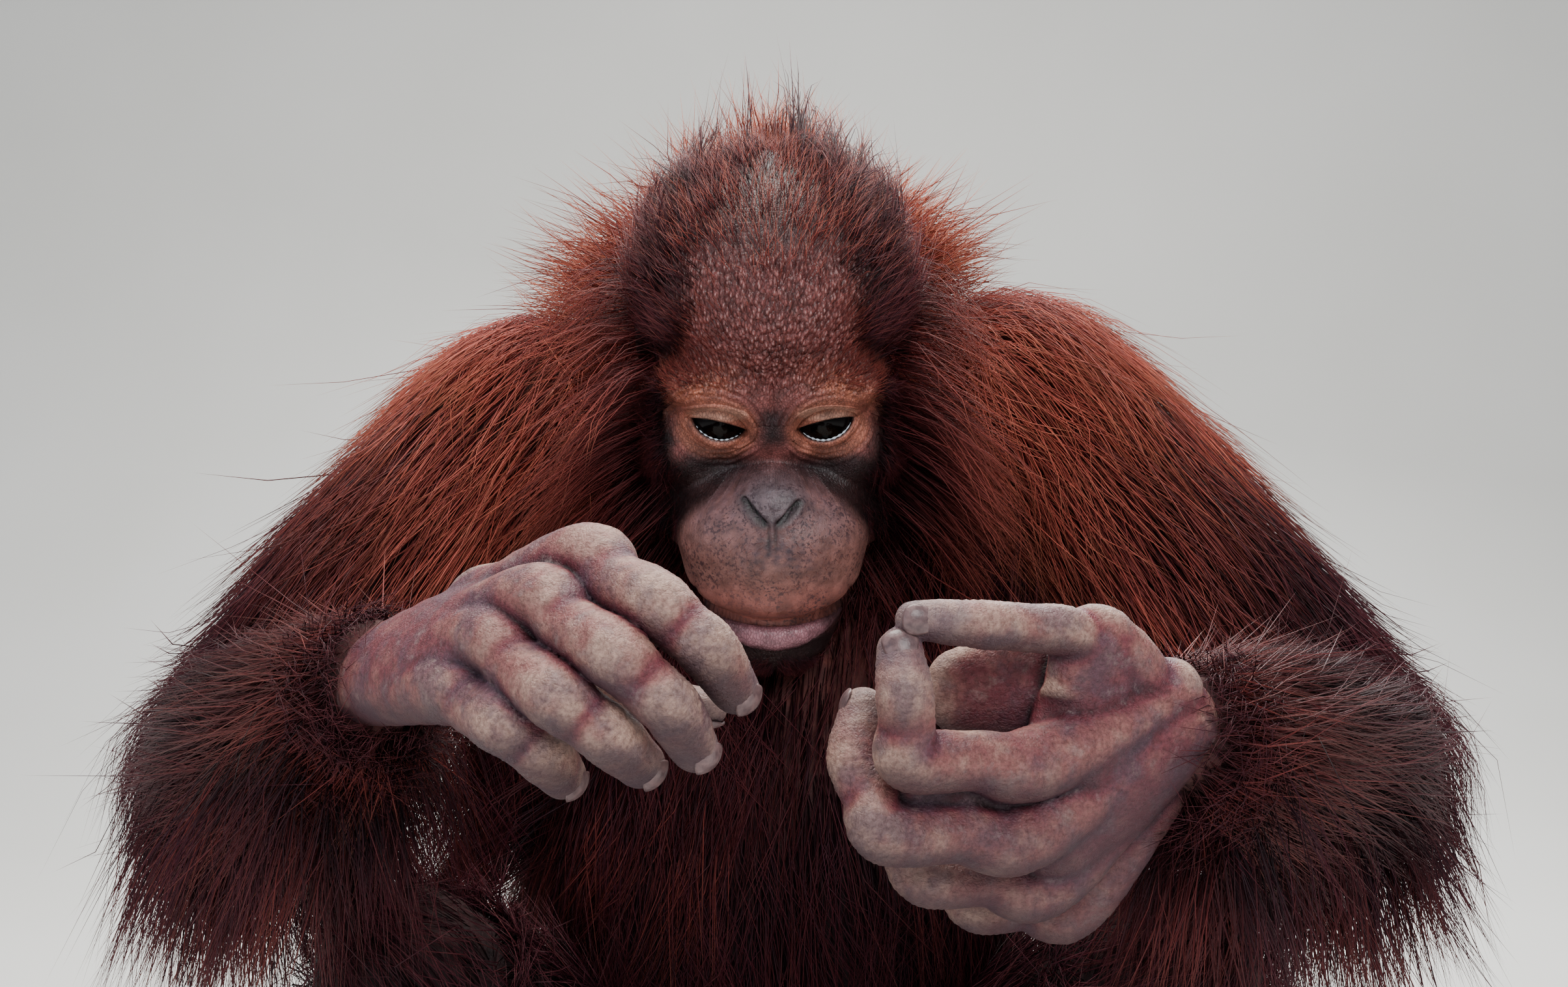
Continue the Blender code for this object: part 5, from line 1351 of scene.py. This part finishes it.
def coat_piece(name, middle, out, half_width, root_uv, tone, painted_light, keep=True):
    """One mesh of the kept tufts, with each root's place in its UV map, its tones and its painted light as attributes.
    """
    levels = LONG if middle.shape[1] == len(LONG) else SHORT
    points = tuft_rings(middle, out, half_width, levels)
    keep = keep & ((points > ROOM_LOW) & (points < ROOM_HIGH)).all((1, 2))
    points, root_uv, tone, painted_light = points[keep], root_uv[keep], tone[keep], painted_light[keep]
    points[..., 2] = np.maximum(points[..., 2], 0.0012)
    count, corners = points.shape[:2]
    faces = tuft_faces(len(levels) - 1)
    template = np.concatenate([np.array(f) for f in faces])
    sizes = np.array([len(f) for f in faces])
    loops = (np.arange(count)[:, None] * corners + template).ravel()
    starts = (np.arange(count)[:, None] * len(template) + (np.cumsum(sizes) - sizes)).ravel()
    mesh = bpy.data.meshes.new(name)
    mesh.vertices.add(count * corners)
    mesh.vertices.foreach_set("co", points.ravel())
    mesh.loops.add(len(loops))
    mesh.loops.foreach_set("vertex_index", loops.astype(np.int32))
    mesh.polygons.add(len(starts))
    mesh.polygons.foreach_set("loop_start", starts.astype(np.int32))
    mesh.update(calc_edges=True)
    mesh.shade_smooth()
    piece = bpy.data.objects.new(name, mesh)
    bpy.context.scene.collection.objects.link(piece)
    row = np.append(np.repeat(np.arange(len(levels) - 1), 3), len(levels) - 1)
    side = np.append(np.tile([-1.0, 0.0, 1.0], len(levels) - 1), 0.0)
    patch = np.stack([side * 0.0015, (levels[row] - 0.5) * 0.003], -1)
    layer = mesh.uv_layers.new(name="OFBake")
    layer.data.foreach_set("uv", (root_uv[:, None] + patch)[:, template].ravel().astype(np.float32))
    give(piece, "along", np.tile(levels[row], (count, 1)).ravel())
    give(piece, "tone", np.repeat(tone, corners))
    give(piece, "painted_light", np.repeat(painted_light, corners))
    triangles = count * (sizes - 2).sum()
    print(f"{name}: {count} tufts of {len(keep)}, {triangles} triangles")
    return piece


# %% How wisps are laid
def wisps(at, s, t, run, drift, lift, many, spread, draw, close=0.42, stray=0.0085, sag=0.004, levels=LONG):
    """Middle lines of many tufts round each wisp's own root.

    s + run u and t + drift u^2 are the wisp's way at a share u of its length, and the height is
    lift u^0.6 of the coat's depth. Each tuft keeps its own offset times 1 - close u^1.2, and strays
    and sags by the square of u.
    """
    step = 0.02
    pace_s = np.linalg.norm(at(s + step, t, 0.0 * s)[0] - at(s - step, t, 0.0 * s)[0], axis=-1) / (2 * step)
    pace_t = np.linalg.norm(at(s, t + step, 0.0 * s)[0] - at(s, t - step, 0.0 * s)[0], axis=-1) / (2 * step)
    count = len(s) * many
    each = np.repeat(np.arange(len(s)), many)
    off_s = draw.normal(0, spread, count) / np.maximum(pace_s, 0.01)[each]
    off_t = draw.normal(0, spread, count) / np.maximum(pace_t, 0.01)[each]
    u = levels[None]
    keep = 1 - close * u**1.2
    long = draw.uniform(0.72, 1.12, count)[:, None]
    row = s[each, None] + off_s[:, None] * keep + (run[each, None] * long) * u
    turn = t[each, None] + off_t[:, None] * keep + drift[each, None] * u**2
    height = lift[each, None] * draw.uniform(0.75, 1.05, count)[:, None] * u**0.6
    middle, out = at(row, turn, height)
    wander = draw.normal(0, 1, (count, 1, 3)) * stray * draw.uniform(0.2, 1.0, (count, 1, 1))
    wild = np.where(draw.uniform(0, 1, (count, 1, 1)) < 0.08, 2.2, 1.0)
    middle = middle + wander * wild * (u**2)[..., None]
    middle[..., 2] -= sag * u**2
    middle[:, 0] -= out[:, 0] * 0.0012
    return middle, out, each, row[:, 0], turn[:, 0]


def deep_in(tree, places, depth):
    """True for places that lie more than a depth inside the skin of a search tree."""
    found = np.zeros(len(places), bool)
    for i, place in enumerate(places):
        near, normal, _, away = tree.find_nearest(Vector(place))
        found[i] = away > depth and (Vector(place) - near).dot(normal) < 0
    return found


body_tree = search_tree(body_piece)
hand_trees = [search_tree(p) for p in hand_pieces.values()]


def visible(middle, own_head):
    """Keeps the tufts whose roots aren't deep inside the body and whose ends stay out of face and hands."""
    last = middle.shape[1] - 1
    if own_head:
        return ~deep_in(body_tree, middle[:, last - 1], 0.004)
    gone = deep_in(body_tree, middle[:, 0], 0.007) | deep_in(head_tree, middle[:, 0], 0.001)
    for level in range(1, last + 1):
        gone |= deep_in(head_tree, middle[:, level], 0.0005)
    for tree in hand_trees:
        for level in (0, last - 1, last):
            gone |= deep_in(tree, middle[:, level], 0.0005)
    return ~gone


# %% Coats of the trunk and limbs
def tube_coat(name, where, along, around, count, run, painted_light, many=24, spread=0.0090, half=0.00038, lift=(0.65, 1.0), levels=SHORT):
    """Wisps scattered over part of a form, from one row to another and between two turns in degrees."""
    shape = TUBES[where]
    last = len(shape[0]) - 1
    draw = np.random.default_rng(sum(name.encode()) * 7)
    wisp_count = count // many

    def at(s, t, share):
        s = np.clip(s, -0.85, last + 0.85)
        place = tube_at(shape, s, t, share)
        return place, unit(tube_at(shape, s, t, share, 0.01) - place)

    s = draw.uniform(*along, wisp_count)
    t = np.radians(draw.uniform(*around, wisp_count))
    runs = run * draw.uniform(0.65, 1.1, wisp_count)
    drift = draw.normal(0, 0.20, wisp_count)
    lifts = draw.uniform(*lift, wisp_count)
    middle, out, each, row, turn = wisps(at, s, t, runs, drift, lifts, many, spread, draw, levels=levels)
    tone = np.clip(draw.normal(0.5, 0.17, wisp_count)[each] + draw.normal(0, 0.12, len(each)), 0, 1)
    # Painted light: the lit share runs between the two given values along the rows and follows the painted sun glow;
    # low values are painted shade.
    level = np.interp(row, along, painted_light) * painted_sun_glow(middle[:, 0])
    lit = np.clip(level * (1 + draw.normal(0, 0.16, wisp_count)[each]) + draw.normal(0, 0.04, len(each)), 0, 1)
    width = half * draw.uniform(0.7, 1.3, len(each))
    uv = np.stack([0.01 + 0.98 * (turn / (2 * math.pi) % 1.0), 0.01 + 0.98 * np.clip((row + 1) / (last + 2), 0, 1)], -1)
    return coat_piece(name, middle, out, width, uv, tone, lit, visible(middle, False))


# Each line gives the form, the rows and turns it covers, how many tufts, how far they run and their painted light, from
# painted shade at 0 to lit at 1.
coat_pieces = [
    tube_coat("coat_back_low", "torso", (0.2, 3.6), (0, 360), 7000, -1.25, (0.15, 0.45)),
    tube_coat("coat_rump", "torso", (-0.4, 1.3), (0, 360), 2000, -0.40, (0.15, 0.15), spread=0.012, lift=(0.5, 0.9)),
    tube_coat("coat_back_high", "torso", (3.2, 7.2), (-10, 190), 9000, -1.35, (0.75, 0.85)),
    tube_coat("coat_front", "torso", (2.6, 7.0), (185, 355), 6800, -1.25, (0.0, 0.16), lift=(0.6, 0.95)),
    tube_coat("coat_neck", "neck", (0.4, 2.8), (-45, 225), 9000, -2.0, (0.9, 0.9)),
]
for word in ("left", "right"):
    coat_pieces += [
        tube_coat(f"coat_upper_arm_{word}", f"upper_arm_{word}", (-0.2, 4.9), (0, 360), 9200, 1.55, (1.0, 0.70), many=16, spread=0.011, levels=LONG),
        tube_coat(f"coat_forearm_{word}", f"forearm_{word}", (0.6, 4.1), (0, 360), 7200, -1.35, (0.5, 0.5), spread=0.007),
        tube_coat(f"coat_thigh_{word}", f"thigh_{word}", (0.2, 4.2), (0, 360), 4200, 1.3, (0.05, 0.05)),
        tube_coat(f"coat_shank_{word}", f"shank_{word}", (-0.7, 3.6), (0, 360), 2600, 1.15, (0.05, 0.10), spread=0.006),
    ]


# %% [markdown]
# Some of the coat doesn't follow the form at all: it hangs. Long hair falls from behind the jaw over
# the shoulders, and from the underside of the arms as a ragged curtain.

# %% Hanging hair
def hanging(name, root, out, uv, length, lift, count, painted_light, spread=0.007, half=0.00036, outward=0.25, close=0.45, levels=LONG):
    """Wisps that leave the skin outwards and then fall.

    The middle line is root + out lift (1 - (1 - u)^2) + fall length u^1.25, and fall is straight down
    with a little of the way out.
    """
    draw = np.random.default_rng(sum(name.encode()) * 13)
    many = max(count // len(root), 1)
    each = np.repeat(np.arange(len(root)), many)
    u = levels[None, :, None]
    off = draw.normal(0, spread, (len(each), 1, 3))
    way = out * np.array([outward, outward, 0.0]) + np.array([0.0, 0.0, -1.0])
    way = unit(way + draw.normal(0, 0.14, (len(root), 3)))
    long = (length * draw.uniform(0.55, 1.1, len(root)))[each] * draw.uniform(0.7, 1.1, len(each))
    middle = root[each][:, None] + off * (1 - close * u**1.2) - out[each][:, None] * 0.003
    middle = middle + out[each][:, None] * (lift * (1 - (1 - u) ** 2)) + way[each][:, None] * (long[:, None, None] * u**1.25)
    middle = middle + draw.normal(0, 0.008, (len(each), 1, 3)) * u**2
    tone = np.clip(draw.normal(0.5, 0.17, len(root))[each] + draw.normal(0, 0.12, len(each)), 0, 1)
    # Painted light: painted sunlight on roots near the shoulders and head, more towards the back, on top of the given
    # painted light.
    painted_sunlit = painted_light + 0.62 * painted_sun_glow(root) * smooth_step(root[:, 1], 0.03, 0.08)
    lit = np.clip((painted_sunlit + draw.normal(0, 0.12, len(root)))[each], 0, 1)
    width = half * draw.uniform(0.7, 1.3, len(each))
    return coat_piece(name, middle, np.repeat(out[each][:, None], len(levels), 1), width, uv[each], tone, lit, visible(middle, False))


def tube_roots(where, along, around, wisp_count, draw):
    """Scattered roots on a form's skin, with the way out and the place on its unwrap."""
    shape = TUBES[where]
    last = len(shape[0]) - 1
    s, t = draw.uniform(*along, wisp_count), np.radians(draw.uniform(*around, wisp_count))
    root = tube_at(shape, s, t, 0.25)
    out = unit(tube_at(shape, s, t, 0.25, 0.01) - root)
    return root, out, np.stack([0.01 + 0.98 * (t / (2 * math.pi) % 1.0), 0.01 + 0.98 * (s + 1) / (last + 2)], -1)


for word in ("left", "right"):
    draw = np.random.default_rng(31)
    root, out, uv = tube_roots(f"upper_arm_{word}", (0.8, 4.9), (120, 240), 130, draw)
    coat_pieces.append(hanging(f"curtain_upper_arm_{word}", root, out, uv, 0.105, 0.016, 2600, 0.12))
    root, out, uv = tube_roots(f"forearm_{word}", (0.4, 3.3), (110, 250), 80, draw)
    coat_pieces.append(hanging(f"curtain_forearm_{word}", root, out, uv, 0.075, 0.016, 2400, 0.03, levels=SHORT))
    turns = (-35, 30) if word == "left" else (150, 215)
    root, out, uv = tube_roots("torso", (3.0, 7.0), turns, 130, draw)
    coat_pieces.append(hanging(f"curtain_side_{word}", root, out, uv, 0.100, 0.042, 4200 if word == "left" else 6000, 0.03, spread=0.010, half=0.00048, levels=SHORT))
    coat_pieces.append(tube_coat(f"cuff_{word}", f"forearm_{word}", (2.6, 4.3), (0, 360), 2200, 0.9, (0.05, 0.05), spread=0.005, lift=(0.9, 1.8), half=0.00026))


# %% Coat of the head
SCALP_EDGE = [(-60, 43), (-20, 46), (20, 48), (45, 47), (57, 45), (80, 36), (95, 27), (106, 19), (116, 8)]


def scalp_hair(points):
    """Depth of the head's tufts: none on the bare scalp, short at the sides, long on the crest behind."""
    across, up = face_mm(to_world(points))
    edge = np.interp(up, *np.transpose(SCALP_EDGE))
    beside = smooth_step(np.abs(across) - edge, -3, 5) * smooth_step(points[..., 1], -0.024, -0.004)
    behind = smooth_step(points[..., 1], 0.080, 0.100)
    crest = 0.030 * bell(points[..., 0], 0.016) * smooth_step(points[..., 1], 0.082, 0.105)
    return np.maximum(0.018 * beside, 0.024 * behind) + crest


def head_at(tilt, turn, share):
    """Places over the head on rays from its middle, and the way out there."""
    tilt = np.clip(tilt, 0.05, 3.05)
    way = head_ray(tilt, turn)
    near = HEAD_HUB + way * skin_radius(way)[..., None]
    out = way @ HEAD_FRAME[:3, :3].T
    return to_world(near) + out * (scalp_hair(near) * share)[..., None], out


def head_coat(name, tilts, turns, count, run, painted_light, many=22, spread=0.005, half=0.00033, length=(0.7, 1.15)):
    """Wisps that run from the face towards the back of the head and stand out with the hair's depth."""
    draw = np.random.default_rng(sum(name.encode()) * 11)
    wisp_count = count // many
    low, high = np.cos(np.radians(tilts))
    tilt = np.arccos(draw.uniform(min(low, high), max(low, high), wisp_count))
    turn = np.radians(draw.uniform(*turns, wisp_count))
    runs = np.radians(run) * draw.uniform(*length, wisp_count)
    drift = draw.normal(0, 0.10, wisp_count)
    lifts = draw.uniform(0.8, 1.05, wisp_count)
    middle, out, each, row, around = wisps(head_at, tilt, turn, runs, drift, lifts, many, spread, draw, stray=0.0075, sag=0.0)
    root = to_head(middle[:, 0])
    keep = visible(middle, True) & (scalp_hair(root) > 0.0015)
    tone = np.clip(draw.normal(0.5, 0.17, wisp_count)[each] + draw.normal(0, 0.12, len(each)), 0, 1)
    # Painted light: the head's hair is painted shade over the front and sides and lit towards the back of the head.
    lit = 0.03 + painted_light * smooth_step(root[:, 1], 0.070, 0.115)
    lit = np.clip(lit + draw.normal(0, 0.07, wisp_count)[each], 0, 1)
    width = half * draw.uniform(0.7, 1.3, len(each))
    uv = np.stack([0.5 + row / math.pi * 0.48 * np.cos(around), 0.5 + row / math.pi * 0.48 * np.sin(around)], -1)
    return coat_piece(name, middle, out, width, uv, tone, lit, keep)


coat_pieces.append(head_coat("coat_head", (34, 150), (-75, 255), 9500, 19, 0.45))

# %% Long hair from behind the jaw
for word, (low, high) in (("left", (-75, 45)), ("right", (135, 255))):
    draw = np.random.default_rng(53)
    tilt, turn = np.radians(draw.uniform(78, 125, 150)), np.radians(draw.uniform(low, high, 150))
    root, out = head_at(tilt, turn, 0.3 + 0 * tilt)
    uv = np.stack([0.5 + tilt / math.pi * 0.48 * np.cos(turn), 0.5 + tilt / math.pi * 0.48 * np.sin(turn)], -1)
    coat_pieces.append(hanging(f"mane_{word}", root, out, uv, 0.075, 0.026, 2400, 0.45, outward=0.7))


# %% [markdown]
# Behind the head the hair of neck and nape stands out all round like a ragged halo, with the light in
# its tips. Its outline is the one seen from in front, so each wisp is sent from the skin to a point of
# that line, from a root found by a ray back towards the middle of the neck.

# %% Halo
HALO = [(-138, 506), (-123, 532), (-95, 554), (-67, 570), (-40, 580), (-22, 590), (0, 603), (16, 598), (30, 582), (60, 570), (88, 556), (112, 546), (109, 522), (96, 500)]


def halo(name, wisp_count, many, painted_light, span=(0.0, 1.0), grown=(0.62, 1.12), half=0.00034, spread=0.009):
    """Middle lines root + (tip - root) u + bow sin(pi u) - 0.010 u^2 up, frayed by the square of u."""
    draw = np.random.default_rng(sum(name.encode()) * 19)
    line = curve(HALO) / 1000
    reach = np.concatenate([[0], np.cumsum(np.linalg.norm(np.diff(line, axis=0), axis=1))])
    place = draw.uniform(*span, wisp_count) * reach[-1]
    deep = draw.uniform(0.0, 0.060, wisp_count)
    tip = np.stack([np.interp(place, reach, line[:, 0]), deep + draw.uniform(0.0, 0.02, wisp_count), np.interp(place, reach, line[:, 1])], -1)
    hub = np.stack([0 * deep, deep, 0.465 + 0 * deep], -1)
    root, found = hub.copy(), np.zeros(wisp_count, bool)
    for k in range(wisp_count):
        way = Vector(hub[k] - tip[k])
        for tree in (head_tree, body_tree):
            place_hit, _, _, away = tree.ray_cast(Vector(tip[k]), way.normalized(), way.length)
            if place_hit and (not found[k] or away < np.linalg.norm(root[k] - tip[k])):
                root[k], found[k] = place_hit, True
    root, tip, hub = root[found], tip[found], hub[found]
    each = np.repeat(np.arange(len(root)), many)
    u = LONG[None, :, None]
    out = unit(tip - root)
    tip = root + (tip - root) * draw.uniform(*grown, len(root))[:, None]
    bow = np.cross(out, [0.0, 1.0, 0.0]) * draw.normal(0, 0.006, (len(root), 1)) + [0.0, 0.004, 0.0]
    off = draw.normal(0, spread, (len(each), 1, 3))
    long = draw.uniform(0.65, 1.05, (len(each), 1, 1))
    middle = root[each][:, None] + off * (1 - 0.4 * u) - 0.003 * out[each][:, None] + (tip - root)[each][:, None] * long * u
    middle = middle + bow[each][:, None] * np.sin(math.pi * u) + draw.normal(0, 0.010, (len(each), 1, 3)) * u**2 - np.array([0.0, 0.0, 0.010]) * u**2
    angle = np.arctan2(root[:, 2] - 0.465, root[:, 0])
    uv = np.stack([0.5 + 0.48 * (angle / math.pi - 0.5), 0.02 + 0.96 * root[:, 1] / 0.1], -1)
    tone = np.clip(draw.normal(0.5, 0.17, len(root))[each] + draw.normal(0, 0.12, len(each)), 0, 1)
    lit = np.clip(painted_light * (1 + draw.normal(0, 0.18, len(root))[each]), 0, 1)
    width = half * draw.uniform(0.7, 1.3, len(each))
    return coat_piece(name, middle, np.repeat(out[each][:, None] + [0.0, 0.4, 0.0], len(LONG), 1), width, uv[each], tone, lit, visible(middle, True))


coat_pieces.append(halo("coat_halo", 330, 24, 0.80))
coat_pieces.append(halo("coat_crest", 130, 24, 0.62, span=(0.35, 0.61), grown=(0.72, 1.12)))


# %% [markdown]
# The face isn't quite bare. Short hairs fan up the forehead, stand on the brows and hang on the cheeks,
# and bristles cover the chin. Each kind is scattered over the skin's own points where a formula in
# the two face numbers says so, and combed along a flow given in the same numbers.

# %% Short hair of the face
skin_points, skin_normals = points_of(head_piece), normals_of(head_piece)
skin_x, skin_z = face_mm(skin_points)
skin_y = to_head(skin_points)[:, 1]


def short_hair(name, density, flow, count, length, lift, half=0.00013, painted_light=0.4, curl=0.0012):
    """Single hairs with middle line root + out lift u^0.7 + flow length u, more where density is high."""
    draw = np.random.default_rng(sum(name.encode()) * 17)
    weight = np.clip(density, 0, None) * (skin_normals[:, 1] < 0.25)
    pick = draw.choice(len(skin_points), count, p=weight / weight.sum())
    out = unit(skin_normals[pick])
    root = skin_points[pick] + draw.normal(0, 0.0006, (count, 3))
    way = np.stack([flow[0][pick], np.zeros(count), flow[1][pick]], -1) + draw.normal(0, 0.22, (count, 3))
    way = unit(way - out * (way * out).sum(1, keepdims=True))
    u = SHORT[None, :, None]
    long = (length * draw.uniform(0.5, 1.2, count))[:, None, None]
    high = (lift * draw.uniform(0.6, 1.3, count))[:, None, None]
    middle = root[:, None] + out[:, None] * (high * u**0.7 - 0.0004) + way[:, None] * (long * u)
    middle = middle + draw.normal(0, 1, (count, 1, 3)) * curl * u**2
    ray = to_head(root) - HEAD_HUB
    tilt, turn = np.arctan2(np.hypot(ray[:, 0], ray[:, 2]), -ray[:, 1]), np.arctan2(ray[:, 2], ray[:, 0])
    uv = np.stack([0.5 + tilt / math.pi * 0.48 * np.cos(turn), 0.5 + tilt / math.pi * 0.48 * np.sin(turn)], -1)
    tone = np.clip(draw.normal(0.55, 0.2, count), 0, 1)
    lit = np.clip(draw.normal(painted_light, 0.12, count), 0, 1)
    width = half * draw.uniform(0.7, 1.3, count)
    return coat_piece(name, middle, np.repeat(out[:, None], len(SHORT), 1), width, uv, tone, lit)


wide = np.abs(skin_x)
away_eye = np.minimum(*(np.hypot((skin_x - side * 23.5) / 19.5, (skin_z - 1.0) / 14.0) for side in (1, -1)))
clear_eye = smooth_step(away_eye, 0.95, 1.25)
up_fan = np.stack([skin_x / 40, 1 + 0 * skin_x])
sideways = np.stack([np.sign(skin_x) * 1.0, -0.25 + 0.02 * (skin_z - 10)])
downwards = np.stack([np.sign(skin_x) * 0.7, -1 + 0 * skin_x])
scalp_edge = np.interp(skin_z, *np.transpose(SCALP_EDGE))
# Painted light and shade: brow, crown, forehead and muzzle hairs get much painted light, the temple, cheek, chin and
# forehead side hairs almost none.
coat_pieces += [
    short_hair("hair_forehead", clear_eye * smooth_step(skin_z, 8, 26) * (0.25 + smooth_step(wide, 14, 38)) * (skin_y < 0.05), up_fan, 2400, 0.010, 0.003, half=0.00010, painted_light=0.50),
    short_hair("hair_crown", smooth_step(skin_z, 56, 84) * (skin_y < 0.110), up_fan, 2600, 0.016, 0.006, half=0.00012, painted_light=0.70, curl=0.004),
    short_hair("hair_forehead_side", smooth_step(skin_z, 24, 40) * smooth_step(wide - scalp_edge, -16, -3) * (skin_y < 0.10), up_fan + 0.5 * sideways, 4600, 0.018, 0.008, half=0.00018, painted_light=0.06, curl=0.003),
    short_hair("hair_scalp", smooth_step(skin_z, 70, 92) * (skin_y < 0.115), up_fan, 3300, 0.014, 0.005, half=0.00013, painted_light=0.18, curl=0.003),
    short_hair("hair_brow", bell((wide - 34) / 12, 1.0) * bell((skin_z - 17) / 5, 1.0) * clear_eye, up_fan + sideways, 420, 0.008, 0.002, half=0.00009, painted_light=0.80),
    short_hair("hair_temple", clear_eye * smooth_step(wide, 43, 50) * smooth_step(skin_z, -80, -50), sideways, 4200, 0.014, 0.006, half=0.00017, painted_light=0.03),
    short_hair("hair_cheek", clear_eye * smooth_step(wide, 34, 46) * smooth_step(-skin_z, 6, 22) * (1 - muzzle_share(skin_x, skin_z)), downwards, 1200, 0.007, 0.002, half=0.00009, painted_light=0.04),
    short_hair("hair_chin", smooth_step(-skin_z, 97, 101) + 0.5 * smooth_step(-skin_z, 72, 84) * smooth_step(wide, 33, 40), downwards, 1800, 0.006, 0.003, half=0.00011, painted_light=0.04),
    short_hair("hair_muzzle", muzzle_share(skin_x, skin_z) * smooth_step(np.hypot(skin_x / 18, (skin_z + 32) / 13), 0.9, 1.2), downwards, 600, 0.003, 0.001, half=0.00006, painted_light=0.5, curl=0.0006),
]


# %% Coat material
def coat_material():
    """Coarse hair: dark maroon at the root, rust in the middle and paler orange at the worn tip, in a lit copy and a
    dark shaded copy mixed by painted light.
    """
    made, tree, shader = new_material("orangutan hair, coarse, dark root and rusty tip", Roughness=0.48, IOR=1.55, Specular_IOR_Level=0.16)
    along = add_node(tree, READ, "Fac", attribute_name="along")
    tone = add_node(tree, READ, "Fac", attribute_name="tone")
    painted_light = add_node(tree, READ, "Fac", attribute_name="painted_light")
    place = add_node(tree, PLACE, "Object")
    uneven = add_node(tree, MATHS, operation="MULTIPLY_ADD", i0=add_node(tree, NOISE, Vector=place, Scale=1000 / 18.0, Detail=3.0, Roughness=0.55), i1=0.30, i2=-0.15)
    at = add_node(tree, MATHS, operation="ADD", i0=along, i1=uneven)
    # Painted light and shade: the lit ramp and the dull ramp are a lit and a shaded copy of the same hair colour.
    lit = add_node(tree, RAMP, Fac=at, stops=[(0.0, "#582027"), (0.30, "#933d3a"), (0.65, "#c45f4e"), (1.0, "#ea9878")])
    dull = add_node(tree, RAMP, Fac=at, stops=[(0.0, "#13060c"), (0.35, "#290f1a"), (0.70, "#4a1b28"), (1.0, "#753440")])
    colour = add_node(tree, MIX, Fac=painted_light, Color1=dull, Color2=lit)
    colour = add_node(tree, MIX, Fac=1.0, Color1=colour, Color2=add_node(tree, RAMP, Fac=tone, stops=[(0.0, "#a69c9e"), (0.5, "#e0dad8"), (1.0, "#ffffff")]), blend_type="MULTIPLY")
    tree.links.new(colour, shader.inputs["Base Color"])
    return made


hair = coat_material()
for made in coat_pieces:
    finish_with(made, hair)
print("coat:", sum(len(q.vertices) - 2 for p in coat_pieces for q in p.data.polygons), "triangles")


# %% [markdown]
# ## Floor, light and camera
# A plain pale floor that rises behind into a wall, a large soft light over and behind the animal that
# rims the coat, and a softer one in front. The camera stands where the photographer's did, level with
# the animal's eyes, and keeps its framing.

# %% Floor
def sweep(width, front, back, height, bend):
    """A floor that curves up into a wall: straight, then a quarter circle, then straight."""
    arc = np.linspace(0, math.pi / 2, 24)
    y = np.concatenate([[front], back - bend + bend * np.sin(arc), [back]])
    z = np.concatenate([[0.0], bend - bend * np.cos(arc), [height]]) - 0.0005
    x = np.array([-width, width])
    places = np.stack([np.repeat(x[None], len(y), 0), np.repeat(y[:, None], 2, 1), np.repeat(z[:, None], 2, 1)], -1)
    return new_piece("floor", places, grid_faces(len(y), 2, False))


floor = sweep(5.0, -4.0, 1.9, 4.0, 0.9)
paper, tree, shader = new_material("matt studio paper", Roughness=0.9)
place = add_node(tree, PLACE, "Object")
tone = add_node(tree, RAMP, Fac=add_node(tree, NOISE, Vector=place, Scale=1000 / 400.0, Detail=2.0, Roughness=0.55), stops=[(0.3, "#d6d6d3"), (0.7, "#dcdcda")])
tree.links.new(tone, shader.inputs["Base Color"])
floor.data.materials.append(paper)


# %% Lights
def soft_light(name, place, target, width, height, power, colour="#ffffff"):
    """A rectangular area light at a place, turned to face a target."""
    data = bpy.data.lights.new(name, "AREA")
    data.shape, data.size, data.size_y, data.energy = "RECTANGLE", width, height, power
    data.color = linear(colour)[:3]
    lamp = bpy.data.objects.new(name, data)
    lamp.location = place
    lamp.visible_camera = False
    lamp.rotation_euler = (Vector(target) - Vector(place)).to_track_quat("-Z", "Y").to_euler()
    bpy.context.scene.collection.objects.link(lamp)
    return lamp


soft_light("top", (-0.1, 0.25, 1.9), (0, 0, 0.35), 1.3, 1.0, 56, "#fffaf2")
soft_light("back", (0.3, 1.3, 1.3), (0, 0.1, 0.40), 1.2, 0.6, 26)
soft_light("front", (0.6, -1.8, 1.5), (0, -0.1, 0.35), 1.2, 1.0, 30)
soft_light("fill", (-1.5, -1.3, 0.9), (0, 0, 0.3), 1.4, 1.4, 9, "#eef3ff")
world = bpy.data.worlds.new("studio")
world.use_nodes = True
world.node_tree.nodes["Background"].inputs[0].default_value = linear("#dfe4ea")
world.node_tree.nodes["Background"].inputs[1].default_value = 0.48
bpy.context.scene.world = world

# %% Camera
camera_data = bpy.data.cameras.new("camera")
camera_data.sensor_width = 36.0
camera_data.lens = 2688 / 2408 * 36.0
camera_data.clip_start = 0.01
camera = bpy.data.objects.new("camera", camera_data)
camera.location = (0.005, -0.83, 0.40)
camera.rotation_euler = (math.radians(90), 0, 0)
bpy.context.scene.collection.objects.link(camera)
bpy.context.scene.camera = camera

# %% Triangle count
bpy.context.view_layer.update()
faces = sum(sum(len(q.vertices) - 2 for q in o.data.polygons) for o in bpy.data.objects if o.type == "MESH" and not o.hide_render)
print("triangles before modifiers:", faces)
